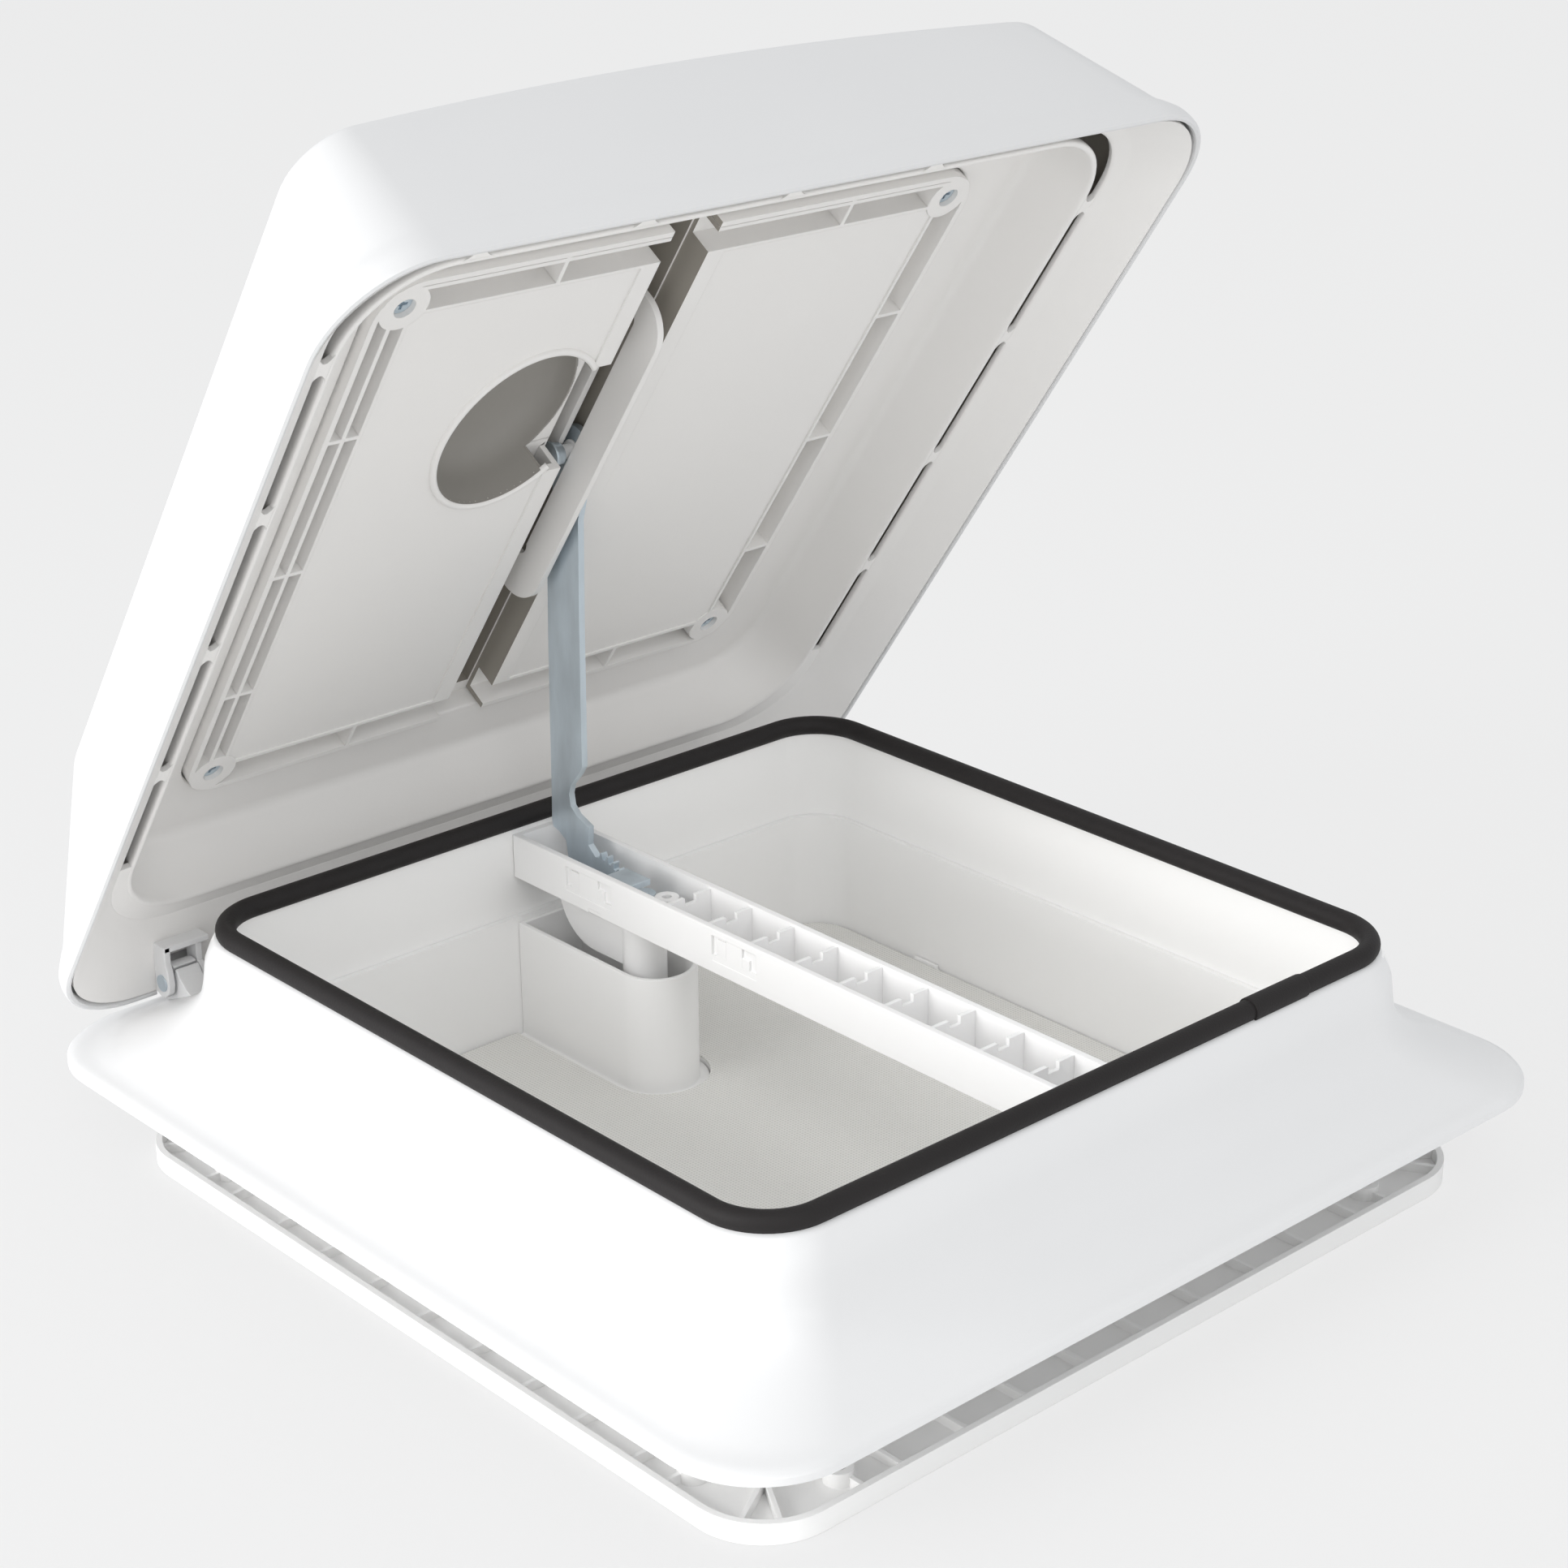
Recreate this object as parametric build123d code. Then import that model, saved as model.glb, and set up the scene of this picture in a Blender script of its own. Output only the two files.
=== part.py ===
"""Caravan roof vent with a crank-lifted lid, shown with the lid open.

Origin: centre of the roof cut-out on the roof's outer skin. +Z is up, +Y points at the lid's hinge.
The lid's pieces are modelled shut and then swung open about the hinge line.
All lengths are millimetres and all angles are degrees.
"""
import math
import os

from build123d import *

# Roof cut-out and tub
cutout_side = 280.0
cutout_gap = 1.0
tub_wall = 2.5
tub_corner_radius = 22.0
tub_drop = 20.0
rim_height = 47.6
overrun = 2.0
contact_gap = 0.1

tub_half = cutout_side / 2 - cutout_gap
tub_inner_half = tub_half - tub_wall
seal_line_half = tub_half - tub_wall / 2
seal_line_radius = tub_corner_radius - tub_wall / 2

# Outer flange and flared skirt
flange_reach = 41.4
flange_corner_radius = 33.0
hinge_side_extra = 5.7
rim_lip = 1.4
skirt_wall = 2.5
collar_corner_radius = 27.0
hinge_trough_start = 168.0
hinge_trough_height = 3.6
gusset_thickness = 2.0
skirt_height = rim_height - rim_lip
gusset_places_share = (-0.62, -0.2, 0.2, 0.62)
# reach beyond the seal line and height of each level, as shares of flange_reach and skirt_height
skirt_level_shares = ((1.0, 0.0), (1.0, 0.074), (0.975, 0.093), (0.93, 0.1), (0.67, 0.178), (0.46, 0.29), (0.38, 0.345),
                      (0.29, 0.435), (0.227, 0.54), (0.197, 0.65), (0.186, 0.755), (0.172, 0.853), (0.14, 0.935),
                      (0.099, 1.0))
hollow_level_shares = ((0.41, 0.0), (0.41, 0.24), (0.3, 0.32), (0.215, 0.43), (0.16, 0.54), (0.13, 0.65), (0.125, 0.9))

# Rim seal
seal_radius = 3.5
seal_lift = 2.0
sleeve_length = 26.0
sleeve_start_x = 64.0
sleeve_wall = 0.3

seal_height = rim_height + seal_lift

# Ceiling frame
ceiling_flange_reach = 21.0
ceiling_flange_corner_radius = 25.0
ceiling_flange_bottom = 35.1
ceiling_rim_height = 7.1
ceiling_wall = 2.3
ceiling_wall_top = 13.6
ceiling_rib_thickness = 1.6
ceiling_rib_height = 5.5
ceiling_cell_shares = (-0.86, -0.75, -0.56, -0.38, -0.19, 0.0, 0.19, 0.38, 0.56, 0.75, 0.86)
corner_rib_angles = (30.0, 60.0)
ceiling_screw_inset = 21.0
ceiling_screw_radius = 2.2
ceiling_boss_radius = 4.6

ceiling_flange_half = tub_half + ceiling_flange_reach
ceiling_screw_place = tub_half - ceiling_screw_inset

# Fly net and its frame
net_clearance = 0.3
net_frame_width = 6.0
net_frame_height = 3.2
net_lift = 0.7
net_thickness = 0.8
net_clip_length = 12.0
net_clip_height = 5.0

# Winder pocket
pocket_nose_x = 3.0
pocket_nose_y = 75.0
pocket_radius = 14.5
pocket_wall = 1.8
pocket_top = 11.6
pocket_foot_flange = 3.5
pocket_foot_thickness = 2.0

# Crossbar: an open channel across the tub
bar_near_x = -10.5
bar_far_x = 13.5
bar_wall = 2.2
bar_drop = 3.0
bar_depth = 16.0
bar_end_gap = 0.2
rib_first_y = 55.6
rib_pitch = 21.1
rib_count = 9
rib_thickness = 1.6
rib_drop = 1.0
rib_arm_relief = 2.6
window_width = 7.0
window_height = 7.0
window_places_share = (0.755, 0.627, 0.189, 0.079)
window_rise_share = 0.62
bar_seat_length = 12.0
bar_seat_height = 5.0
bar_screw_radius = 2.0
bar_screw_head_radius = 3.4
bar_screw_head_height = 2.4
bar_screw_length = 9.0
boss_radius = 4.2
boss_y = 66.5
boss_drop = 4.6
boss_hole_radius = 1.6

bar_top = rim_height - bar_drop
bar_bottom = bar_top - bar_depth
boss_top = bar_top - boss_drop

# Worm, sector gear and lifting arm
shaft_x = 2.25
shaft_y = 80.04
worm_pitch = 3.3
worm_pitch_radius = 5.5
worm_tip = 0.85
worm_root = 1.15
worm_thread_share = 0.36
worm_turns = 4.0
sector_teeth = 30
tooth_tip_share = 0.24
tooth_root_share = 0.56
tooth_addendum = 0.95
tooth_dedentum = 1.2
sector_span = (-22.0, 106.0)
pivot_drop = 0.2
arm_near_x = 1.0
arm_thickness = 2.5
arm_width = 17.3
pivot_pin_radius = 2.5
pivot_head_radius = 4.2
pivot_head_height = 1.4
bush_wall = 1.0
running_gap = 0.06
side_gap = 0.35
arm_tip_share = 0.1
sector_toe_share = 0.95
washer_radius_share = 1.5

pivot_z = bar_bottom - pivot_drop

# Gear casing and shaft sleeve under the crossbar
casing_radius = 19.3
casing_wall = 1.5
casing_near_x = -3.0
casing_far_x = 7.5
casing_top_share = 0.4
sleeve_radius = 7.75
sleeve_bore = 6.6
sleeve_bottom = -18.0
bearing_length = 8.0
shaft_radius = 3.0
shaft_reach = 8.6
shaft_bottom = -29.5
collar_radius = 5.2
collar_height = 2.0

shaft_top = pivot_z + shaft_reach

# Winder knob with a fold-out finger peg
knob_radius = 10.6
knob_height = 6.0
knob_bottom = -33.6
knob_hub_radius = 5.4
knob_flute_radius = 1.6
knob_flutes = 12
peg_width = 4.0
peg_length = 12.0
peg_height = 3.0
peg_slot_gap = 0.4
peg_pin_radius = 0.8
peg_offset = 6.4
peg_pin_length = 9.0

# Lid: hinge line, opening and overall form
hinge_inset = 5.42
hinge_z = 13.76
open_angle = 55.33
lid_y = 1.5
lid_seat_lift = 2.9
lid_wall = 2.5
lid_rim_inset = 3.65
lid_rim_free_inset = 2.4
lid_rim_hinge_extra = 6.0
lid_rim_level = 14.5
lid_rim_height = 5.0
lid_rim_radius = 34.0
lid_foot_lift = 13.0
lid_foot_inset = 5.1
lid_foot_radius = 32.0
lid_crown_rise = 22.3
lid_crown_side_inset = 26.4
lid_crown_free_inset = 12.2
lid_crown_hinge_inset = 53.0
lid_crown_radius = 19.0
lid_arch = 8.5

lid_seat = seal_height + lid_seat_lift
lid_rim_drop = lid_seat - lid_rim_level
lid_foot_drop = lid_rim_drop - lid_foot_lift
hinge_y = seal_line_half + flange_reach - hinge_inset
lid_rim_half = seal_line_half + flange_reach - lid_rim_inset

# Lid liner: its ring stands round the rim seal when the lid is shut
liner_ring_reach = 11.65
liner_ring_drop = 22.7
liner_flare = 3.9
liner_fold = 2.0
liner_fold_drop = 1.0
liner_seat_rise = 1.2
liner_wall = 2.0
liner_corner_radius = 30.0
liner_seat_width = 22.5
slot_band_width = 5.9
strip_width = 4.2
strip_drop = 2.7
skin_gap = 0.1
panel_recess_depth = 8.6
tab_width = 5.0
tab_side_shares = (0.783, 0.368, -0.047, -0.448)
tab_top_shares = (-0.756, -0.355, 0.027, 0.422)
trough_near_x = -12.2
trough_far_x = 5.4
trough_end_margin = 5.0
trough_depth = 24.0
cup_x = -42.5
cup_place = 40.0
cup_radius = 28.0
cup_depth = 21.0
cup_mouth_share = 0.8

liner_ring_half = seal_line_half + liner_ring_reach
liner_fold_half = liner_ring_half - liner_flare
liner_seat_half = liner_fold_half - liner_fold
panel_recess_half = liner_seat_half - liner_seat_width
trough_end = panel_recess_half - trough_end_margin

# Inner panels
panel_gap = 0.8
panel_proud = 3.0
panel_corner_radius = 16.0
panel_face_drop = 0.6
panel_face_wall = 2.0
panel_base_wall = 1.6
panel_border_wall = 2.2
panel_rib_wall = 1.4
panel_cell_width = 10.5
panel_web = 1.6
panel_strip_width = 8.0
panel_screw_inset = 11.1
panel_boss_radius = 8.6
panel_screw_head_radius = 3.6
panel_screw_head_height = 2.2
panel_screw_radius = 1.8
panel_screw_length = 11.0
screw_cross_share = 0.6
screw_slot_share = 0.15

panel_screw_place = panel_recess_half - panel_screw_inset
panel_edge_rise = liner_seat_rise - panel_proud

# Guide plate for the arm's pin
guide_near_x = -4.0
guide_thickness = 2.5
guide_drop = 8.3
guide_free_end = 84.0
guide_hinge_end = -56.0
guide_corner_radius = 13.0
guide_foot_width = 4.6
guide_foot_thickness = 2.0
guide_screw_places = (60.0, -30.0)
guide_screw_radius = 1.5
guide_screw_head_radius = 2.2
guide_screw_head_height = 1.2
slot_free_end = 72.0
slot_hinge_end = -36.0
slot_clearance = 0.3
slot_hole_radius = 4.0

# Arm pin: where it stands on the open lid, along the lid and above the panel screws' plane
pin_along = 8.0
pin_rise = 8.0
pin_travel = 1.0
pin_shank_radius = 1.75
roller_radius = 2.5
pin_head_radius = 4.6
pin_head_height = 1.4
pin_near_x = -7.4
pin_washer_height = 0.8
pin_tail_height = 1.2
pin_tail_radius = 3.2

# Hinge knuckles
knuckle_x = 125.5
knuckle_radius = 6.0
knuckle_width = 9.0
knuckle_slit = 0.9
knuckle_neck = 7.0
hinge_pin_radius = 2.0
cheek_thickness = 2.4
cheek_gap = 0.5
cheek_radius = 5.4
cheek_top_wall = 2.2
hinge_pin_head_radius = 3.0
hinge_pin_head_height = 1.0

hinge_axis = Axis((0, hinge_y, hinge_z), (1, 0, 0))


def rounded_plan(half_x, y_low, y_high, radius, z):
    """Flat rounded rectangle at height z."""
    sketch = RectangleRounded(2 * half_x, y_high - y_low, radius)
    return Pos(0, (y_high + y_low) / 2, z) * sketch


def square_plan(half, radius, z):
    """Flat rounded square about the origin at height z."""
    return rounded_plan(half, -half, half, radius, z)


def slab(half, radius, z_low, z_high):
    """Rounded square block about the origin."""
    return extrude(square_plan(half, radius, z_low), z_high - z_low)


def block(x_low, x_high, y_low, y_high, z_low, z_high):
    """Plain block between two corners."""
    size = (x_high - x_low, y_high - y_low, z_high - z_low)
    middle = Pos((x_high + x_low) / 2, (y_high + y_low) / 2, (z_high + z_low) / 2)
    return middle * Box(*size)


def rod_z(x, y, radius, z_low, z_high):
    """Upright cylinder."""
    return Pos(x, y, (z_low + z_high) / 2) * Cylinder(radius, z_high - z_low)


def rod_x(y, z, radius, x_low, x_high):
    """Cylinder along X."""
    return Pos((x_low + x_high) / 2, y, z) * Rot(0, 90, 0) * Cylinder(radius, x_high - x_low)


def plate_x(points, x_low, x_high):
    """Plate square to X with its outline given in (y, z)."""
    outline = Polyline(*[(0, y, z) for y, z in points], close=True)
    return extrude(Pos(x_low, 0, 0) * make_face(outline), x_high - x_low, dir=(1, 0, 0))


def share_between(low, high, share):
    """Value a given share of the way from low to high."""
    return low + (high - low) * share


def opened(part):
    """Swing a piece of the shut lid to its open place."""
    return part.rotate(hinge_axis, -open_angle)


def lid_z(rise):
    """Height of a point of the shut lid, rise above the panel screws' plane."""
    return lid_seat + rise


def lid_place(along):
    """Y of a point of the shut lid, along from the panels' centre to the free edge."""
    return lid_y - along


def skirt_section(reach_share, height_share, inset=0.0):
    """One level of the flared skirt, which reaches further out on the hinge side."""
    reach = flange_reach * reach_share
    start = skirt_level_shares[-4][0]
    spread = max(0.0, (reach_share - start) / (1 - start))
    radius = share_between(collar_corner_radius, flange_corner_radius, spread)
    half = seal_line_half + reach - inset
    y_high = half + hinge_side_extra * spread
    return rounded_plan(half, -half, y_high, radius - inset, skirt_height * height_share)


def make_outer_frame():
    skirt = loft([skirt_section(*shares) for shares in skirt_level_shares], ruled=True)
    hollow = loft([skirt_section(*shares) for shares in hollow_level_shares], ruled=True)
    hollow += extrude(skirt_section(*hollow_level_shares[0]), -overrun)
    trough_x = tub_half + flange_reach
    trough = block(-trough_x, trough_x, hinge_trough_start, hinge_trough_start + 2 * flange_reach,
                   hinge_trough_height, skirt_height)
    shell = skirt - hollow - trough
    rim = slab(tub_half, tub_corner_radius, -tub_drop, rim_height)
    gussets = Part()
    for share in gusset_places_share:
        place = tub_half * share
        reach = seal_line_half + flange_reach
        gussets += block(place - gusset_thickness / 2, place + gusset_thickness / 2, -reach, reach, 0, skirt_height)
        gussets += block(-reach, reach, place - gusset_thickness / 2, place + gusset_thickness / 2, 0, skirt_height)
    frame = shell + rim + (gussets & hollow)
    frame -= slab(tub_inner_half, tub_corner_radius - tub_wall, -tub_drop - overrun, rim_height + overrun)
    frame += bar_seats()
    for side in (-1, 1):
        frame += knuckle(side * knuckle_x)
    return frame


def bar_seats():
    """Ledges on the hinge and free walls that carry the crossbar's ends."""
    seats = Part()
    for side in (-1, 1):
        inner = side * (tub_inner_half - bar_seat_length)
        outer = side * tub_half - side * tub_wall / 2
        seats += block(bar_near_x, bar_far_x, min(inner, outer), max(inner, outer),
                       bar_bottom - bar_seat_height, bar_bottom)
        seats -= rod_z((bar_near_x + bar_far_x) / 2, side * (tub_inner_half - bar_seat_length / 2),
                       bar_screw_radius, bar_bottom - bar_seat_height - overrun, bar_bottom + overrun)
    return seats


def knuckle(x):
    """Fixed half of one hinge: a split barrel on a neck that rises from the flange."""
    low, high = x - knuckle_width / 2, x + knuckle_width / 2
    body = rod_x(hinge_y, hinge_z, knuckle_radius, low, high)
    body += block(low, high, hinge_y - knuckle_radius - knuckle_neck, hinge_y + knuckle_radius / 2,
                  hinge_trough_height / 2, hinge_z)
    body += rod_x(hinge_y, hinge_z, knuckle_radius, low, high)
    body -= rod_x(hinge_y, hinge_z, hinge_pin_radius + running_gap, low - overrun, high + overrun)
    slit = block(low - overrun, high + overrun, hinge_y - knuckle_slit / 2, hinge_y + knuckle_slit / 2,
                 hinge_z, hinge_z + knuckle_radius + overrun)
    return body - slit.rotate(hinge_axis, open_angle / 2)


def make_rim_seal():
    path = square_plan(seal_line_half, seal_line_radius, seal_height).face().outer_wire()
    start = Plane(origin=path @ 0, z_dir=path % 0)
    bulb = sweep(start * Circle(seal_radius), path=path)
    return bulb - tub_lip()


def tub_lip(spare=0.0):
    """Space that the tub's upstanding lip takes, with some to spare."""
    lip = slab(tub_half + spare, tub_corner_radius + spare, 0, rim_height + spare)
    return lip - slab(tub_inner_half - spare, tub_corner_radius - tub_wall - spare, -overrun, rim_height + overrun)


def make_seal_sleeve():
    low, high = sleeve_start_x, sleeve_start_x + sleeve_length
    outer = rod_x(-seal_line_half, seal_height, seal_radius + sleeve_wall, low, high)
    inner = rod_x(-seal_line_half, seal_height, seal_radius, low - overrun, high + overrun)
    lip_gap = block(low - overrun, high + overrun, -tub_half - contact_gap, -tub_inner_half + contact_gap,
                    rim_height - skirt_wall, rim_height + contact_gap)
    shoulder_gap = block(low - overrun, high + overrun, -tub_half - tub_wall, -tub_inner_half,
                         skirt_height - skirt_wall, skirt_height + contact_gap)
    return outer - inner - lip_gap - shoulder_gap


def make_ceiling_frame():
    wall_half = tub_inner_half - contact_gap
    wall_radius = tub_corner_radius - tub_wall - contact_gap
    bottom = -ceiling_flange_bottom
    plate = slab(ceiling_flange_half, ceiling_flange_corner_radius, bottom, bottom + ceiling_wall)
    rim = slab(ceiling_flange_half, ceiling_flange_corner_radius, bottom, bottom + ceiling_rim_height)
    rim -= slab(ceiling_flange_half - ceiling_wall, ceiling_flange_corner_radius - ceiling_wall,
                bottom - overrun, bottom + ceiling_rim_height + overrun)
    wall = slab(wall_half, wall_radius, bottom, ceiling_wall_top)
    frame = plate + rim + wall + ceiling_ribs()
    for x_side in (-1, 1):
        for y_side in (-1, 1):
            for x, y in screw_places(x_side, y_side):
                frame += rod_z(x, y, ceiling_boss_radius, bottom, bottom + ceiling_rim_height)
    frame -= slab(wall_half - ceiling_wall, wall_radius - ceiling_wall, bottom - overrun, ceiling_wall_top + overrun)
    for x_side in (-1, 1):
        for y_side in (-1, 1):
            for x, y in screw_places(x_side, y_side):
                frame -= rod_z(x, y, ceiling_screw_radius, bottom - overrun, bottom + ceiling_rim_height + overrun)
    return frame


def flange_middle():
    """Middle of the ceiling flange, between the tub's wall and the flange's rim."""
    return (tub_inner_half + ceiling_flange_half - ceiling_wall) / 2


def screw_places(x_side, y_side):
    """Two roof screw holes near one corner of the ceiling flange."""
    return ((x_side * ceiling_screw_place, y_side * flange_middle()),
            (x_side * flange_middle(), y_side * ceiling_screw_place))


def ceiling_ribs():
    """Thin ribs that divide the ceiling flange's upper side into open cells."""
    ribs = Part()
    reach = ceiling_flange_half - ceiling_wall / 2
    bottom = -ceiling_flange_bottom
    top = bottom + ceiling_rib_height
    half = ceiling_rib_thickness / 2
    for share in ceiling_cell_shares:
        place = tub_inner_half * share
        ribs += block(place - half, place + half, -reach, reach, bottom, top)
        ribs += block(-reach, reach, place - half, place + half, bottom, top)
    corner = ceiling_flange_half - ceiling_flange_corner_radius
    for quarter in range(4):
        for angle in corner_rib_angles:
            spoke = block(0, ceiling_flange_corner_radius - ceiling_wall / 2, -half, half, bottom, top)
            ribs += Rot(0, 0, 90 * quarter) * Pos(corner, corner, 0) * Rot(0, 0, angle) * spoke
    return ribs


def pocket_plan(grow):
    """Plan of the winder pocket: a round nose with straight sides back to the hinge wall."""
    radius = pocket_radius + grow
    back = tub_inner_half - contact_gap - ceiling_wall - contact_gap
    sides = Pos(pocket_nose_x, (pocket_nose_y + back) / 2) * Rectangle(2 * radius, back - pocket_nose_y)
    return Pos(pocket_nose_x, pocket_nose_y) * Circle(radius) + sides


def make_winder_pocket():
    bottom = -ceiling_flange_bottom + net_lift
    shell = extrude(Pos(0, 0, bottom) * pocket_plan(0.0), pocket_top - bottom)
    shell += extrude(Pos(0, 0, bottom) * pocket_plan(pocket_foot_flange), pocket_foot_thickness)
    back = tub_inner_half - contact_gap - ceiling_wall - contact_gap - pocket_wall
    inner = Pos(pocket_nose_x, pocket_nose_y) * Circle(pocket_radius - pocket_wall)
    inner += Pos(pocket_nose_x, (pocket_nose_y + back) / 2) * Rectangle(
        2 * (pocket_radius - pocket_wall), back - pocket_nose_y)
    return shell - extrude(Pos(0, 0, bottom - overrun) * inner, pocket_top - bottom + 2 * overrun)


def net_half():
    """Half side of the fly net's frame inside the ceiling frame's wall."""
    return tub_inner_half - contact_gap - ceiling_wall - net_clearance


def pocket_hole(grow, z_low, z_high):
    """Room for the pocket's foot in the net and its frame."""
    room = extrude(Pos(0, 0, z_low) * pocket_plan(pocket_foot_flange + net_clearance + grow), z_high - z_low)
    reach = pocket_radius + pocket_foot_flange + net_clearance + grow
    back = block(pocket_nose_x - reach, pocket_nose_x + reach, pocket_nose_y, tub_half, z_low, z_high)
    return room + back


def make_net_frame():
    bottom = -ceiling_flange_bottom + net_lift
    radius = tub_corner_radius - tub_wall - ceiling_wall - net_clearance
    half = net_half()
    frame = slab(half, radius, bottom, bottom + net_frame_height)
    frame -= slab(half - net_frame_width, radius - net_frame_width / 2, bottom - overrun,
                  bottom + net_frame_height + overrun)
    border = pocket_hole(net_frame_width, bottom, bottom + net_frame_height)
    border &= slab(half, radius, bottom, bottom + net_frame_height)
    frame += border
    for side in (-1, 1):
        low, high = sorted((side * half, side * (half - net_clip_height / 4)))
        for place in (-half / 2, half / 2):
            frame += block(low, high, place, place + net_clip_length, bottom, bottom + net_clip_height)
    return frame - pocket_hole(0.0, bottom - overrun, bottom + net_clip_height + overrun)


def make_fly_net():
    bottom = -ceiling_flange_bottom + net_lift + net_frame_height
    radius = tub_corner_radius - tub_wall - ceiling_wall - net_clearance
    half = net_half() - net_clip_height / 4 - net_clearance
    net = slab(half, radius - net_clip_height / 4, bottom, bottom + net_thickness)
    return net - pocket_hole(0.0, bottom - overrun, bottom + net_thickness + overrun)


def make_crossbar():
    end = tub_inner_half - bar_end_gap
    bar = block(bar_near_x, bar_far_x, -end, end, bar_bottom, bar_top)
    bar -= block(bar_near_x + bar_wall, bar_far_x - bar_wall, -end + bar_wall, end - bar_wall,
                 bar_bottom + bar_wall, bar_top + overrun)
    for index in range(rib_count):
        bar += bar_rib(rib_first_y - index * rib_pitch)
    middle = (bar_near_x + bar_far_x) / 2
    bar += rod_z(middle, boss_y, boss_radius, bar_bottom, boss_top)
    bar -= rod_z(middle, boss_y, boss_hole_radius, bar_bottom + bar_wall, boss_top + overrun)
    rise = share_between(bar_bottom, bar_top, window_rise_share)
    for share in window_places_share:
        place = end * share
        bar -= block(bar_near_x - overrun, bar_near_x + bar_wall + overrun, place - window_width / 2,
                     place + window_width / 2, rise - window_height / 2, rise + window_height / 2)
    bar += gear_casing()
    bar -= gear_room()
    for side in (-1, 1):
        bar -= rod_z(middle, side * (tub_inner_half - bar_seat_length / 2), bar_screw_radius,
                     bar_bottom - overrun, bar_bottom + bar_wall + overrun)
    return bar


def bar_rib(y):
    """Cross rib of the channel, cut down where the shut arm lies."""
    rib = block(bar_near_x + bar_wall / 2, bar_far_x - bar_wall / 2, y - rib_thickness / 2, y + rib_thickness / 2,
                bar_bottom + bar_wall / 2, bar_top - rib_drop)
    relief_low = arm_near_x - arm_thickness / 2
    relief_high = arm_near_x + arm_thickness + arm_thickness / 2
    return rib - block(relief_low, relief_high, y - rib_thickness, y + rib_thickness,
                       bar_top - rib_drop - rib_arm_relief, bar_top)


def sector_pitch_radius():
    return sector_teeth * worm_pitch / (2 * math.pi)


def pivot_y():
    """The arm's pivot stands a full gear and worm radius behind the shaft."""
    return shaft_y + worm_pitch_radius + sector_pitch_radius()


def gear_casing():
    """Half-round casing and shaft sleeve that hang under the crossbar."""
    disc = rod_x(pivot_y(), pivot_z, casing_radius, casing_near_x, casing_far_x)
    top = share_between(bar_bottom, bar_top, casing_top_share)
    keep = block(casing_near_x, casing_far_x, shaft_y, pivot_y() + casing_radius, pivot_z - casing_radius, top)
    lower = block(casing_near_x, casing_far_x, shaft_y, pivot_y(), pivot_z - casing_radius, bar_bottom + bar_wall)
    casing = (disc & keep) + lower
    casing += rod_z(shaft_x, shaft_y, sleeve_radius, sleeve_bottom, bar_bottom + bar_wall)
    return casing


def gear_room():
    """Room inside the casing for the sector gear, the worm, the arm and their pins."""
    near = casing_near_x + casing_wall
    far = casing_far_x - casing_wall
    inner_radius = casing_radius - casing_wall
    room = rod_x(pivot_y(), pivot_z, inner_radius, near, far)
    room += block(near, far, shaft_y, pivot_y() + inner_radius, pivot_z, bar_top + overrun)
    room += block(near, far, shaft_y, pivot_y(), pivot_z - inner_radius, bar_top + overrun)
    room += rod_z(shaft_x, shaft_y, sleeve_bore, sleeve_bottom + bearing_length, bar_top + overrun)
    room += rod_z(shaft_x, shaft_y, shaft_radius + running_gap, sleeve_bottom - overrun, bar_top)
    room += rod_x(pivot_y(), pivot_z, pivot_pin_radius, casing_near_x - overrun, casing_far_x + overrun)
    head = pivot_head_radius + contact_gap
    room += rod_x(pivot_y(), pivot_z, head, casing_near_x - pivot_head_height - contact_gap, casing_near_x)
    room += block(casing_near_x - pivot_head_height - contact_gap, casing_near_x, pivot_y() - head,
                  pivot_y() + head, pivot_z, bar_top)
    return room


def make_bar_screws():
    screws = Part()
    middle = (bar_near_x + bar_far_x) / 2
    head = bar_bottom + bar_wall
    for side in (-1, 1):
        y = side * (tub_inner_half - bar_seat_length / 2)
        screw = rod_z(middle, y, bar_screw_radius, head - bar_screw_length, head)
        screw += rod_z(middle, y, bar_screw_head_radius, head, head + bar_screw_head_height)
        recess = bar_screw_head_radius / 2
        screw -= block(middle - recess, middle + recess, y - recess / 3, y + recess / 3,
                       head + bar_screw_head_height / 2, head + bar_screw_head_height + overrun)
        screws += screw
    return screws


def make_worm_keeper():
    low = bar_near_x + bar_wall
    high = arm_near_x - 2 * side_gap
    depth = bar_wall
    front = shaft_y - worm_pitch_radius - tooth_addendum
    back = shaft_y + worm_pitch_radius + tooth_addendum
    return block(low, high, front, back, bar_top - depth, bar_top)


def make_pivot_pin():
    pin = rod_x(pivot_y(), pivot_z, pivot_pin_radius, casing_near_x - pivot_head_height, casing_far_x + side_gap)
    pin += rod_x(pivot_y(), pivot_z, pivot_head_radius, casing_near_x - pivot_head_height, casing_near_x)
    return pin


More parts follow.
